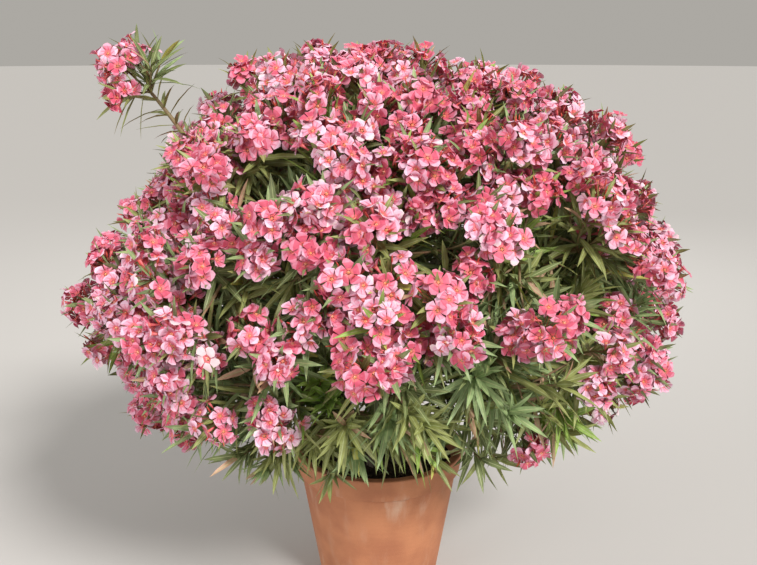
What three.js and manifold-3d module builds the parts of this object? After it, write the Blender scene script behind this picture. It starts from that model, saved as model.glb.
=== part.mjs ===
// An oleander in a terracotta pot: several stems rise from one root, fork into boughs,
// and each bough carries a mass of shoots with whorled leaves and pink flower heads.
// Millimetres, +Z up. The origin is the middle of the pot's flat underside.
import * as THREE from "three";
import { mergeVertices } from "three/addons/utils/BufferGeometryUtils.js";
import Module from "manifold-3d";

const wasm = await Module();
wasm.setup();

// Clearance left between pieces that touch
const GAP = 0.3;
const SEED = 4.7;
// What each seeded draw settles
const DRAW = {
  stemTurn: 1,
  stemFoot: 2,
  stemForkRing: 3,
  stemForkHeight: 4,
  stemGirth: 5,
  tipBearing: 10,
  tipReach: 20,
  leafOpening: 31,
  flowerBearing: 41,
  lowBloom: 50,
};
const UP = new THREE.Vector3(0, 0, 1);
const FULL_TURN = 2 * Math.PI;
const GOLDEN_ANGLE = Math.PI * (3 - Math.sqrt(5));

// Pot and soil
const POT_HEIGHT = 400;
const POT_FOOT_RADIUS = 165;
const POT_LIP_RADIUS = 240;
const POT_WALL = 15;
const POT_FLOOR = 20;
const RIM_BAND_HEIGHT = 64;
const RIM_BAND_PROUD = 9;
const EDGE_ROUND = 5;
const SOIL_HEIGHT = 362;
const SOIL_DISH = 8;
const POT_SIDES = 36;

// Stems
const STEM_COUNT = 6;
const STEM_RING_RADIUS = 62;
const STEM_FORK_RING_RADIUS = 150;
const STEM_FORK_HEIGHT = 630;
const STEM_BOW = 16;
const STEM_FOOT_RADIUS = 19;
const STEM_TIP_RADIUS = 13.5;
const ROOT_FLARE = 0.55;
const FLARE_DECAY = 12;
const STEM_SIDES = 8;
const STEM_STEPS = 5;

// Crown: an ellipsoid with named lobes that swell it or draw it in
const CROWN_CENTRE = new THREE.Vector3(-19, 0, 914);
const CROWN_REACH = new THREE.Vector3(785, 735, 570);
const LOBE_WIDTH = THREE.MathUtils.degToRad(26);
const LOBES = [
  { name: "left flank", turn: 180, rise: -12, swell: 0.04 },
  { name: "left shoulder", turn: 175, rise: 28, swell: -0.13 },
  { name: "left crest", turn: 170, rise: 68, swell: 0.08 },
  { name: "right crest", turn: 10, rise: 60, swell: 0.02 },
  { name: "right shoulder", turn: 5, rise: 35, swell: 0.1 },
  { name: "right flank", turn: 0, rise: -8, swell: 0.08 },
  { name: "left skirt", turn: 185, rise: -30, swell: 0.06 },
  { name: "right skirt", turn: -5, rise: -30, swell: 0.11 },
];

// Masses of shoots, placed on a golden spiral from the top of the crown to its skirt
const MASS_COUNT = 22;
const SPIRAL_START = THREE.MathUtils.degToRad(20);
const TOP_SINE = 1;
const SKIRT_SINE = -0.62;
const BASE_SHARE = 0.5;
const FORK_SHARE = 0.63;
const HEAD_SHARE = 0.92;
const HEAD_UNEVENNESS = 0.05;
const SHOOTS_ROUND_FORK = 3;
const SHOOT_SPREAD = 0.25;
const FACING_LIFT = 0.35;
const BOUGH_FOOT_RADIUS = 9.5;
const BOUGH_TIP_RADIUS = 6.5;
const BOUGH_OFF_AXIS = 0.75;
const BOUGH_BELOW_FORK = 0.6;
const BOUGH_SPLAY = 0.22;
const BOUGH_RISE = 0.24;
const BOUGH_STRAIGHTENING = 0.3;
const BOUGH_SIDES = 6;
const BOUGH_STEPS = 4;
const TWIG_FOOT_RADIUS = 6;
const TWIG_TIP_RADIUS = 4.4;
const SHOOT_TIP_RADIUS = 3.2;
const TWIG_SIDES = 3;
const TWIG_STEPS = 2;
const SHOOT_BEND = 0.45;

// Leaves in whorls of three, larger than life because they are fewer than on the plant
const LEAF_LENGTH = 170;
const LEAF_WIDTH = 36;
const LEAF_THICKNESS = 5;
const LEAF_WIDEST = 0.42;
const LEAF_DROOP = 14;
const LEAF_ROOT_OFF_AXIS = 0.7;
const LEAF_OPENING = THREE.MathUtils.degToRad(50);
const LEAF_UNEVENNESS = 0.24;
const MIDDLE_WHORLS = [0.56, 0.84];
const SIDE_WHORLS = [0.34, 0.74];

// Each head is one large funnel with five petals, as wide as the cluster that it stands for
const PETALS = 5;
const FLOWER_RADIUS = 64;
const FLOWER_DEPTH = 62;
const FLOWER_MOUTH_DIP = 12;
const FLOWER_ROOT_SUNK = 13;
const PETAL_NOTCH = 0.5;
const FLOWER_SIZES = [1, 0.86, 0.72];
const BLOOM_LINE = 560;
const LOW_BLOOM_CHANCE = 0.35;
const SKIRT_HEIGHT = 430;
const CELL_MARGIN = 0.6;
const CLEARANCE = 16;
const LIMB_SAMPLES = 24;
const CROSSING_MM3 = 5;
const ROOT_IN_TWIG_MM3 = 110;

// The stray shoot that arches out above the left shoulder
const STRAY_STEM = 4;
const STRAY_LEAVES_CROWN = new THREE.Vector3(-505, 30, 1255);
const STRAY_FORK = new THREE.Vector3(-592, 30, 1375);
const STRAY_HEADS = [new THREE.Vector3(-640, 25, 1452), new THREE.Vector3(-652, 5, 1364)];

const bark = new THREE.MeshStandardMaterial({ color: 0x7d7262, roughness: 0.9 });
const greenBark = new THREE.MeshStandardMaterial({ color: 0x6f7353, roughness: 0.8 });
const leafGreen = new THREE.MeshStandardMaterial({ color: 0x5d7a45, roughness: 0.55 });
const terracotta = new THREE.MeshStandardMaterial({ color: 0xb8683f, roughness: 0.85 });
const soil = new THREE.MeshStandardMaterial({ color: 0x3b2c20, roughness: 1 });

// The same number from 0 to 1 each time, for a pair of whole numbers.
function chance(a, b) {
  const x = Math.sin(a * 12.9898 + b * 78.233 + SEED) * 43758.5453;
  return x - Math.floor(x);
}

// A value that varies by up to a share of itself either way.
function vary(value, share, i, draw) {
  return value * (1 + share * (2 * chance(i, draw) - 1));
}

function polar(turn, rise) {
  return new THREE.Vector3(
    Math.cos(turn) * Math.cos(rise),
    Math.sin(turn) * Math.cos(rise),
    Math.sin(rise),
  );
}

// A direction turned away from an axis by spread, at a bearing round that axis.
function lean(axis, spread, bearing) {
  const reference = Math.abs(axis.z) > 0.95 ? new THREE.Vector3(1, 0, 0) : UP;
  const side = new THREE.Vector3().crossVectors(reference, axis).normalize();
  const other = new THREE.Vector3().crossVectors(axis, side);
  return axis
    .clone()
    .multiplyScalar(Math.cos(spread))
    .addScaledVector(side, Math.sin(spread) * Math.cos(bearing))
    .addScaledVector(other, Math.sin(spread) * Math.sin(bearing));
}

const lobeDirections = LOBES.map((lobe) =>
  polar(THREE.MathUtils.degToRad(lobe.turn), THREE.MathUtils.degToRad(lobe.rise)),
);

// How much the lobes swell the crown in a direction, as a factor.
function swell(direction) {
  return LOBES.reduce((sum, lobe, i) => {
    const away = direction.angleTo(lobeDirections[i]) / LOBE_WIDTH;
    return sum + lobe.swell * Math.exp(-away * away);
  }, 1);
}

// The point at a share of the way from the crown's centre to its surface.
function crownPoint(direction, share) {
  return direction
    .clone()
    .multiply(CROWN_REACH)
    .multiplyScalar(share * swell(direction))
    .add(CROWN_CENTRE);
}

// The inverse: the direction of a point, and its share of the way to the surface.
function crownPlace(point) {
  const direction = point.clone().sub(CROWN_CENTRE).divide(CROWN_REACH);
  const length = direction.length();
  direction.normalize();
  return { direction, share: length / swell(direction) };
}

// Outward and a little upward at the crown's surface, the way a shoot faces.
function facing(direction) {
  return direction.clone().divide(CROWN_REACH).normalize().addScaledVector(UP, FACING_LIFT).normalize();
}

// A closed mesh as a solid that can be joined and cut.
function solidOf(geometry) {
  const bare = geometry.index ? geometry.toNonIndexed() : geometry.clone();
  bare.deleteAttribute("normal");
  bare.deleteAttribute("uv");
  const merged = mergeVertices(bare, 1e-3);
  return new wasm.Manifold(
    new wasm.Mesh({
      numProp: 3,
      vertProperties: merged.attributes.position.array,
      triVerts: new Uint32Array(merged.index.array),
    }),
  );
}

function geometryOf(solid) {
  const { vertProperties, triVerts } = solid.getMesh();
  return new THREE.BufferGeometry()
    .setAttribute("position", new THREE.BufferAttribute(vertProperties, 3))
    .setIndex(new THREE.BufferAttribute(triVerts, 1));
}

// The largest body of a solid: loose scraps are dropped and sealed hollows are filled.
function mainBody(solid) {
  return solid.decompose().reduce((best, body) => (body.volume() > best.volume() ? body : best));
}

// A round limb along a curve: a tapered cylinder whose rings are moved on to the curve.
// flare widens its foot, footHeight levels the foot's cut, and grow makes every radius larger,
// to cut a neighbour clear of it.
function limbGeometry({ curve, foot, tip, sides, steps, flare = 0, grow = 0, footHeight }) {
  const geometry = new THREE.CylinderGeometry(1, 1, 1, sides, steps);
  const { normals, binormals } = curve.computeFrenetFrames(steps, false);
  const places = geometry.getAttribute("position");
  for (let i = 0; i < places.count; i++) {
    const ring = Math.round((0.5 + places.getY(i)) * steps);
    const along = ring / steps;
    const radius = (foot + (tip - foot) * along) * (1 + flare * Math.exp(-along * FLARE_DECAY)) + grow;
    const point = curve
      .getPointAt(along)
      .addScaledVector(normals[ring], places.getX(i) * radius)
      .addScaledVector(binormals[ring], -places.getZ(i) * radius);
    if (footHeight && ring === 0) point.z = footHeight;
    places.setXYZ(i, point.x, point.y, point.z);
  }
  return geometry;
}

// A leaf as an octahedron whose corners are moved: an upright root edge inside the twig,
// two corners at its widest place, a ridge above them, and its tip.
function leafGeometry(root, direction, flatWay) {
  const geometry = new THREE.OctahedronGeometry(1);
  const side = new THREE.Vector3().crossVectors(flatWay, direction).normalize();
  const face = new THREE.Vector3().crossVectors(direction, side);
  const places = geometry.getAttribute("position");
  for (let i = 0; i < places.count; i++) {
    const [x, y, z] = [places.getX(i), places.getY(i), places.getZ(i)];
    const isTip = z > 0.5;
    const isRoot = z < -0.5 || x < -0.5;
    const along = isTip ? LEAF_LENGTH : isRoot ? 0 : LEAF_LENGTH * LEAF_WIDEST;
    const height = isTip ? -LEAF_DROOP : z < -0.5 || x > 0.5 ? LEAF_THICKNESS : 0;
    const point = root
      .clone()
      .addScaledVector(direction, along)
      .addScaledVector(side, (-y * LEAF_WIDTH) / 2)
      .addScaledVector(face, height - LEAF_THICKNESS / 2);
    places.setXYZ(i, point.x, point.y, point.z);
  }
  return geometry;
}

// A flower as a funnel with a five-petalled mouth, its point sunk in the shoot.
function flowerGeometry(root, direction, bearing, size) {
  const geometry = new THREE.ConeGeometry(1, 1, 2 * PETALS);
  const side = lean(direction, Math.PI / 2, bearing);
  const other = new THREE.Vector3().crossVectors(direction, side);
  const places = geometry.getAttribute("position");
  for (let i = 0; i < places.count; i++) {
    const [x, z] = [places.getX(i), places.getZ(i)];
    const isRim = Math.hypot(x, z) > 0.5;
    const isMouthMiddle = !isRim && places.getY(i) < 0;
    const spoke = Math.round((Math.atan2(z, x) / FULL_TURN) * 2 * PETALS);
    const radius = FLOWER_RADIUS * size * (Math.abs(spoke) % 2 ? PETAL_NOTCH : 1);
    const depth = (0.5 - places.getY(i)) * FLOWER_DEPTH - (isMouthMiddle ? FLOWER_MOUTH_DIP : 0);
    const point = root
      .clone()
      .addScaledVector(direction, depth - FLOWER_ROOT_SUNK)
      .addScaledVector(side, isRim ? x * radius : 0)
      .addScaledVector(other, isRim ? z * radius : 0);
    places.setXYZ(i, point.x, point.y, point.z);
  }
  return geometry;
}

// The pot: a profile turned round the axis, closed on itself at the axis.
function potProfile() {
  const slope = (POT_LIP_RADIUS - RIM_BAND_PROUD - POT_FOOT_RADIUS) / POT_HEIGHT;
  const outer = (height) => POT_FOOT_RADIUS + slope * height;
  const inner = (height) => outer(height) - POT_WALL;
  const bandFoot = POT_HEIGHT - RIM_BAND_HEIGHT;
  return [
    [0, 0],
    [POT_FOOT_RADIUS - EDGE_ROUND, 0],
    [outer(EDGE_ROUND), EDGE_ROUND],
    [outer(bandFoot), bandFoot],
    [outer(bandFoot) + RIM_BAND_PROUD, bandFoot + EDGE_ROUND],
    [POT_LIP_RADIUS, POT_HEIGHT - EDGE_ROUND],
    [POT_LIP_RADIUS - EDGE_ROUND, POT_HEIGHT],
    [inner(POT_HEIGHT) + EDGE_ROUND, POT_HEIGHT],
    [inner(POT_HEIGHT), POT_HEIGHT - EDGE_ROUND],
    [inner(POT_FLOOR), POT_FLOOR],
    [0, POT_FLOOR],
  ];
}

function soilProfile() {
  const slope = (POT_LIP_RADIUS - RIM_BAND_PROUD - POT_FOOT_RADIUS) / POT_HEIGHT;
  const clear = (height) => POT_FOOT_RADIUS + slope * height - POT_WALL - 2 * GAP;
  return [
    [0, POT_FLOOR + GAP],
    [clear(POT_FLOOR + GAP), POT_FLOOR + GAP],
    [clear(SOIL_HEIGHT - SOIL_DISH), SOIL_HEIGHT - SOIL_DISH],
    [STEM_RING_RADIUS * 2, SOIL_HEIGHT],
    [0, SOIL_HEIGHT],
  ];
}

function turned(profile) {
  const points = profile.map(([radius, height]) => new THREE.Vector2(radius, height));
  return new THREE.LatheGeometry(points, POT_SIDES).rotateX(Math.PI / 2);
}

// Stem number i: it leans outward as it rises from the soil to its fork.
function stemLimb(i) {
  const turn = ((i + vary(0.5, 0.33, i, DRAW.stemTurn)) / STEM_COUNT) * FULL_TURN;
  const outward = polar(turn, 0);
  const footRing = vary(STEM_RING_RADIUS, 0.15, i, DRAW.stemFoot);
  const forkRing = vary(STEM_FORK_RING_RADIUS, 0.1, i, DRAW.stemForkRing);
  const foot = outward.clone().multiplyScalar(footRing).setZ(SOIL_HEIGHT + GAP);
  const forkHeight = vary(STEM_FORK_HEIGHT, 0.05, i, DRAW.stemForkHeight);
  const fork = outward.clone().multiplyScalar(forkRing).setZ(forkHeight);
  const middle = foot.clone().lerp(fork, 0.5).addScaledVector(outward, -STEM_BOW);
  return {
    curve: new THREE.QuadraticBezierCurve3(foot, middle, fork),
    foot: vary(STEM_FOOT_RADIUS, 0.1, i, DRAW.stemGirth),
    tip: STEM_TIP_RADIUS,
    sides: STEM_SIDES,
    steps: STEM_STEPS,
    flare: ROOT_FLARE,
    footHeight: SOIL_HEIGHT + GAP,
  };
}

const stems = Array.from({ length: STEM_COUNT }, (_, i) => stemLimb(i));

// The stem whose fork lies nearest in plan to a direction.
function stemFor(direction) {
  const bearing = (v) => Math.atan2(v.y, v.x);
  const away = (limb) => {
    const difference = bearing(limb.curve.v2) - bearing(direction);
    return Math.abs(Math.atan2(Math.sin(difference), Math.cos(difference)));
  };
  return stems.reduce((best, limb) => (away(limb) < away(best) ? limb : best));
}

// A bough leaves its stem's fork on the side that it makes for, and bends towards end.
function boughLimb(stem, end, endDirection) {
  const fork = stem.curve.v2;
  const stemWay = stem.curve.getTangentAt(1);
  const across = end.clone().sub(fork);
  across.addScaledVector(stemWay, -across.dot(stemWay)).normalize();
  const length = fork.distanceTo(end);
  const foot = fork
    .clone()
    .addScaledVector(across, BOUGH_OFF_AXIS * STEM_TIP_RADIUS)
    .addScaledVector(stemWay, -BOUGH_BELOW_FORK * STEM_TIP_RADIUS);
  const leaving = foot
    .clone()
    .addScaledVector(across, BOUGH_SPLAY * length)
    .addScaledVector(stemWay, BOUGH_RISE * length);
  const arriving = end.clone().addScaledVector(endDirection, -BOUGH_STRAIGHTENING * length);
  return {
    curve: new THREE.CubicBezierCurve3(foot, leaving, arriving, end),
    foot: BOUGH_FOOT_RADIUS,
    tip: BOUGH_TIP_RADIUS,
    sides: BOUGH_SIDES,
    steps: BOUGH_STEPS,
  };
}

// Mass number i: its place on the crown, its bough, and the tips of its shoots.
function massPlan(i) {
  const sine = TOP_SINE + ((SKIRT_SINE - TOP_SINE) * (i + 0.5)) / MASS_COUNT;
  const direction = polar(SPIRAL_START + i * GOLDEN_ANGLE, Math.asin(sine));
  const base = crownPoint(direction, BASE_SHARE);
  const fork = crownPoint(direction, FORK_SHARE);
  const stemWay = fork.clone().sub(base).normalize();
  const bough = boughLimb(stemFor(direction), base, stemWay);
  const tips = Array.from({ length: 1 + SHOOTS_ROUND_FORK }, (_, k) => {
    const bearing = (k / SHOOTS_ROUND_FORK) * FULL_TURN + FULL_TURN * chance(i, DRAW.tipBearing);
    const way = k === 0 ? direction : lean(direction, SHOOT_SPREAD, bearing);
    const share = HEAD_SHARE - HEAD_UNEVENNESS * chance(i, DRAW.tipReach + k);
    return { point: crownPoint(way, share), facing: facing(way) };
  });
  return { number: i, direction, base, fork, bough, tips };
}

const masses = Array.from({ length: MASS_COUNT }, (_, i) => massPlan(i));

// The stray shoot's plan. Its space is all that lies outside the crown's surface.
const strayWay = STRAY_FORK.clone().sub(STRAY_LEAVES_CROWN).normalize();
const stray = {
  number: MASS_COUNT,
  base: STRAY_LEAVES_CROWN,
  fork: STRAY_FORK,
  bough: boughLimb(stems[STRAY_STEM - 1], STRAY_LEAVES_CROWN, strayWay),
  tips: STRAY_HEADS.map((point) => ({
    point,
    facing: point.clone().sub(STRAY_FORK).normalize(),
  })),
};

const plans = [...masses, stray];
const limbs = [...stems, ...plans.map((plan) => plan.bough)];

// Whether a point lies in a plan's own space.
function isInSpace(point, plan) {
  const { direction, share } = crownPlace(point);
  if (plan === stray) return share > 1 && point.z > STRAY_LEAVES_CROWN.z - 120;
  if (share > 1 || point.z < SKIRT_HEIGHT) return false;
  const offset = point.clone().sub(CROWN_CENTRE).divide(CROWN_REACH);
  const own = offset.dot(plan.direction);
  const margin = CELL_MARGIN / CROWN_REACH.z;
  return masses.every((other) => other === plan || own > offset.dot(other.direction) + margin);
}

const limbSamples = limbs.map((limb) => ({
  points: limb.curve.getSpacedPoints(LIMB_SAMPLES),
  radius: Math.max(limb.foot, limb.tip),
}));

// Whether a piece keeps to its plan's space and clear of every limb.
function isClear(geometry, plan, reach) {
  const places = geometry.getAttribute("position");
  const middle = new THREE.Vector3();
  for (let i = 0; i < places.count; i++) {
    const point = new THREE.Vector3().fromBufferAttribute(places, i);
    if (!isInSpace(point, plan)) return false;
    middle.addScaledVector(point, 1 / places.count);
  }
  return limbSamples.every(({ points, radius }) =>
    points.every((point) => point.distanceTo(middle) > radius + reach || isFar(point, places, radius)),
  );
}

// Whether a point of a limb is farther from every edge and middle of a piece than it needs.
function isFar(point, places, radius) {
  const a = new THREE.Vector3();
  const b = new THREE.Vector3();
  const line = new THREE.Line3();
  const nearest = new THREE.Vector3();
  for (let i = 0; i + 2 < places.count; i += 3) {
    for (const [from, to] of [[0, 1], [1, 2], [2, 0]]) {
      a.fromBufferAttribute(places, i + from);
      b.fromBufferAttribute(places, i + to);
      line.set(a, b).closestPointToPoint(point, true, nearest);
      if (nearest.distanceTo(point) < radius + CLEARANCE) return false;
    }
  }
  return true;
}

// The leaves of one shoot, opening towards its tip: a whorl has one on each face of the shoot.
function shootLeaves(curve, plan, shoot) {
  const { normals } = curve.computeFrenetFrames(TWIG_STEPS, false);
  return (shoot === 0 ? MIDDLE_WHORLS : SIDE_WHORLS).flatMap((place, whorl) => {
    const node = curve.getPointAt(place);
    const way = curve.getTangentAt(place);
    const across = new THREE.Vector3().crossVectors(way, normals[Math.round(place * TWIG_STEPS)]);
    return Array.from({ length: TWIG_SIDES }, (_, k) => {
      const draw = plan.number * 16 + shoot * 4 + whorl;
      const opening = vary(LEAF_OPENING, LEAF_UNEVENNESS, draw, DRAW.leafOpening + k);
      const outward = across.clone().applyAxisAngle(way, (k / TWIG_SIDES) * FULL_TURN).normalize();
      const direction = way.clone().multiplyScalar(Math.cos(opening));
      const root = node.clone().addScaledVector(outward, LEAF_ROOT_OFF_AXIS);
      return leafGeometry(root, direction.addScaledVector(outward, Math.sin(opening)), way);
    });
  });
}

// The flower of one head: the largest that keeps to its plan's space.
function headFlower(tip, plan, draw) {
  const bearing = FULL_TURN * chance(draw, DRAW.flowerBearing);
  return FLOWER_SIZES.map((size) => flowerGeometry(tip.point, tip.facing, bearing, size)).find(
    (geometry) => isClear(geometry, plan, 2 * FLOWER_RADIUS),
  );
}

// The shoots of one mass: a stem that runs on as the middle shoot, and others that fork off it.
// A side shoot that would touch a limb is skipped.
function massShoots({ base, fork, tips }) {
  const start = base.clone().addScaledVector(fork.clone().sub(base).normalize(), GAP);
  const shoots = tips.map((tip, k) => {
    const from = k === 0 ? start : fork;
    const bend = tip.point.clone().addScaledVector(tip.facing, -SHOOT_BEND * fork.distanceTo(tip.point));
    return { tip, curve: new THREE.QuadraticBezierCurve3(from, k === 0 ? fork : bend, tip.point) };
  });
  return shoots.filter(({ curve }, k) => k === 0 || isCurveClear(curve));
}

function isCurveClear(curve) {
  return curve.getSpacedPoints(LIMB_SAMPLES).every((place) =>
    limbSamples.every(({ points, radius }) =>
      points.every((point) => point.distanceTo(place) > radius + CLEARANCE),
    ),
  );
}

// One mass: its shoots, with the flowers and leaves fused to them.
// A leaf that would cross a flower, another leaf or another shoot is skipped.
function massSolid(plan) {
  const shoots = massShoots(plan);
  const wood = shoots
    .map(({ curve }, k) =>
      solidOf(
        limbGeometry({
          curve,
          foot: k === 0 ? TWIG_FOOT_RADIUS : TWIG_TIP_RADIUS,
          tip: SHOOT_TIP_RADIUS,
          sides: TWIG_SIDES,
          steps: TWIG_STEPS,
        }),
      ),
    )
    .reduce((all, one) => all.add(one));
  const flowers = shoots
    .filter(({ tip }, k) => {
      return tip.point.z > BLOOM_LINE || chance(plan.number, DRAW.lowBloom + k) < LOW_BLOOM_CHANCE;
    })
    .map(({ tip }, k) => headFlower(tip, plan, plan.number * 8 + k))
    .filter((flower) => flower);
  const leaves = shoots
    .flatMap(({ curve }, k) => shootLeaves(curve, plan, k))
    .filter((geometry) => isClear(geometry, plan, LEAF_LENGTH));
  const blades = leaves.map(solidOf).reduce((others, leaf) => {
    const isCrossing =
      leaf.intersect(wood).volume() > ROOT_IN_TWIG_MM3 ||
      others.some((other) => leaf.intersect(other).volume() > CROSSING_MM3);
    return isCrossing ? others : [...others, leaf];
  }, flowers.map(solidOf));
  return mainBody(blades.reduce((all, one) => all.add(one), wood));
}

// A limb's solid, cut clear of the limbs that it springs from or beside.
function limbSolid(limb, neighbours) {
  const whole = solidOf(limbGeometry(limb));
  const cut = (solid, other) => solid.subtract(solidOf(limbGeometry({ ...other, grow: 2 * GAP })));
  return mainBody(neighbours.reduce(cut, whole));
}

function addMesh(group, name, geometry, material) {
  const mesh = new THREE.Mesh(geometry, material);
  mesh.name = name;
  group.add(mesh);
}

const plant = new THREE.Group();
addMesh(plant, "pot", turned(potProfile()), terracotta);
addMesh(plant, "potting_soil", turned(soilProfile()), soil);
stems.forEach((stem, i) => {
  const name = `stem_${i + 1}`;
  addMesh(plant, name, geometryOf(limbSolid(stem, stems.slice(0, i))), bark);
});
plans.forEach((plan, i) => {
  const label = plan === stray ? "stray" : String(i + 1).padStart(2, "0");
  const earlier = plans.slice(0, i).map((other) => other.bough);
  const bough = limbSolid(plan.bough, [...stems, ...earlier]);
  addMesh(plant, `bough_${label}`, geometryOf(bough), greenBark);
  addMesh(plant, `foliage_${label}`, geometryOf(massSolid(plan)), leafGreen);
});

export default plant;
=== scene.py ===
# %% [markdown]
# # An oleander in a clay pot
#
# The plant is a broad dome of flowering shoots on six stems, in a plain terracotta pot.
# An oleander grows by one simple rule: a shoot ends in a head of flowers, and below the head
# it forks in threes. Every piece here follows from that rule, so the script grows the plant
# from its stems to its petals, and each step is whole arrays of points made with numpy.
#
# The lengths are metres, +Z is up, and the origin is the middle of the pot's underside.

# %% Load the solids that hold the plant's sizes
import itertools
import math

import bpy
import numpy as np
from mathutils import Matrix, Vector


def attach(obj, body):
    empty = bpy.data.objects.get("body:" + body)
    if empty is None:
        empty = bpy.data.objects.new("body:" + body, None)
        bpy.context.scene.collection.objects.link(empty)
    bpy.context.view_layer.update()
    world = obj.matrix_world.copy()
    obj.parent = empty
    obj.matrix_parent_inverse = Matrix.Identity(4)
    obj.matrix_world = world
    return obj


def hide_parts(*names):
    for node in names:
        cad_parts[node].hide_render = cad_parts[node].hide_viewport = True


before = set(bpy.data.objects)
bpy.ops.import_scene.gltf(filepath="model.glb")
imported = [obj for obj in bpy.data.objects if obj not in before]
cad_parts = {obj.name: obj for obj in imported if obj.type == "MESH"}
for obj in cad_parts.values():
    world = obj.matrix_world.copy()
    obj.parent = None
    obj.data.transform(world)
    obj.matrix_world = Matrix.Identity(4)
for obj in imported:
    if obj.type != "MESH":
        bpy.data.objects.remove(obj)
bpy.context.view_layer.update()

# %% [markdown]
# ## Seeded draws and directions
#
# Nothing is drawn from a clock. Each random-looking number is worked out from two whole
# numbers, so the same plant grows each time, and it is the plant of the solids.

# %% Draws
MM = 0.001
SEED = 4.7


def chance(a, b):
    """The fraction part of 43758.5453 sin(12.9898 a + 78.233 b + seed), from 0 to 1."""
    x = np.sin(np.asarray(a) * 12.9898 + np.asarray(b) * 78.233 + SEED) * 43758.5453
    return x - np.floor(x)


def vary(value, share, a, b):
    """A value that varies by up to a share of itself either way: v (1 + s (2 chance - 1))."""
    return value * (1 + share * (2 * chance(a, b) - 1))


print("first draws", np.round(chance(np.arange(4), 1), 3))

# %% Unit vectors and directions
FULL_TURN = 2 * math.pi
GOLDEN_ANGLE = math.pi * (3 - math.sqrt(5))
UP = np.array([0.0, 0.0, 1.0])
EAST = np.array([1.0, 0.0, 0.0])


def unit(vectors):
    """Each vector divided by its own length."""
    return vectors / np.linalg.norm(vectors, axis=-1, keepdims=True)


def dot(a, b):
    """The scalar products of two rows of vectors, kept as a column."""
    return np.sum(a * b, axis=-1, keepdims=True)


def polar(turn, rise):
    """(cos turn cos rise, sin turn cos rise, sin rise)."""
    turn, rise = np.broadcast_arrays(turn, rise)
    flat = np.cos(rise)
    return np.stack([np.cos(turn) * flat, np.sin(turn) * flat, np.sin(rise)], axis=-1)


def basis(axis):
    """Two unit vectors square to an axis and to each other."""
    reference = np.where(np.abs(axis[..., 2:]) > 0.95, EAST, UP)
    side = unit(np.cross(reference, axis))
    return side, np.cross(axis, side)


def lean(axis, spread, bearing):
    """The axis turned by spread: a cos s + (side cos b + other sin b) sin s."""
    side, other = basis(axis)
    spread, bearing = np.asarray(spread)[..., None], np.asarray(bearing)[..., None]
    around = side * np.cos(bearing) + other * np.sin(bearing)
    return axis * np.cos(spread) + around * np.sin(spread)


print("up, leant by a right angle:", np.round(lean(UP, math.pi / 2, 0.0), 3))

# %% [markdown]
# ## The crown
#
# The crown is one ellipsoid with eight named lobes. A lobe swells it where the plant bulges
# and draws it in where there is a hollow. A place in the crown is a direction from its
# centre and a share of the way to its surface, so a shoot's tip can be set by both.

# %% Lobes
# Each lobe's name, turn, rise and width in degrees, and how much it swells the reach
LOBES = (
    ("left flank", 180, -12, 26, 0.04),
    ("left shoulder", 175, 28, 26, -0.13),
    ("left crest", 170, 68, 26, 0.08),
    ("right crest", 10, 60, 26, 0.02),
    ("right shoulder", 5, 35, 26, 0.1),
    ("right flank", 0, -8, 26, 0.08),
    ("left skirt", 185, -30, 26, 0.06),
    ("right skirt", -5, -30, 26, 0.11),
)


def ways_of(places):
    """The directions of named places, from the turn and rise in degrees after each name."""
    turn, rise = np.radians([place[1:3] for place in places]).T
    return polar(turn, rise)


def angles_to(ways, direction):
    """The angle from each direction to each of the ways."""
    return np.arccos(np.clip(direction @ ways.T, -1, 1))


def hills(places, direction):
    """The sum over named places of height times exp(-(angle to the place / width) squared)."""
    width, height = np.array([place[3:] for place in places]).T
    away = angles_to(ways_of(places), direction) / np.radians(width)
    return np.exp(-away * away) @ height


print("the lobes swell straight up by", np.round(hills(LOBES, UP), 3))

# %% The crown's surface
CROWN_CENTRE = np.array([-19, 0, 914]) * MM
CROWN_REACH = np.array([785, 735, 570]) * MM
FACING_LIFT = 0.35


def swell(direction):
    """1 + what the lobes add in each direction."""
    return 1 + hills(LOBES, direction)


def crown_point(direction, share):
    """Centre + direction times the reach along each axis, times share and swell."""
    return CROWN_CENTRE + direction * CROWN_REACH * (share * swell(direction))[..., None]


def crown_share(points):
    """How far out points lie: 1 is the crown's surface."""
    offset = (points - CROWN_CENTRE) / CROWN_REACH
    length = np.linalg.norm(offset, axis=-1)
    return length / swell(offset / length[..., None])


def facing(direction):
    """The way a shoot faces: square to the ellipsoid, and a little upward."""
    return unit(unit(direction / CROWN_REACH) + UP * FACING_LIFT)


print("crown is", np.round(2 * CROWN_REACH, 2), "m before its lobes")

# %% [markdown]
# ## Stems and boughs
#
# Six stems rise from one root and lean outward to their forks. From the forks, boughs arch
# out to where the leaves begin. Each limb is a cubic Bezier curve, because four points give
# it the right start, the right end and a natural bend, and numpy evaluates all of them at
# once. Their numbers repeat the solids', so the bark lies where the solid limbs do.

# %% Curves
def quadratic(start, bend, end):
    """The four controls of the cubic that draws the same curve as three controls do."""
    leaving, arriving = start + (bend - start) * 2 / 3, end + (bend - end) * 2 / 3
    return np.stack([start, leaving, arriving, end], axis=-2)


def bezier(controls, t):
    """Points (1-t)^3 A + 3(1-t)^2 t B + 3(1-t) t^2 C + t^3 D of each curve, and unit tangents."""
    t = np.asarray(t, float)
    s = 1 - t
    weights = np.stack([s**3, 3 * s * s * t, 3 * s * t * t, t**3], axis=-1)
    slopes = np.stack([-s * s, s * s - 2 * s * t, 2 * s * t - t * t, t * t], axis=-1)
    return weights @ controls, unit(slopes @ controls)


print("half way round a bend:", bezier(quadratic(0 * UP, EAST, EAST + UP), [0.5])[0][0])

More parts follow.
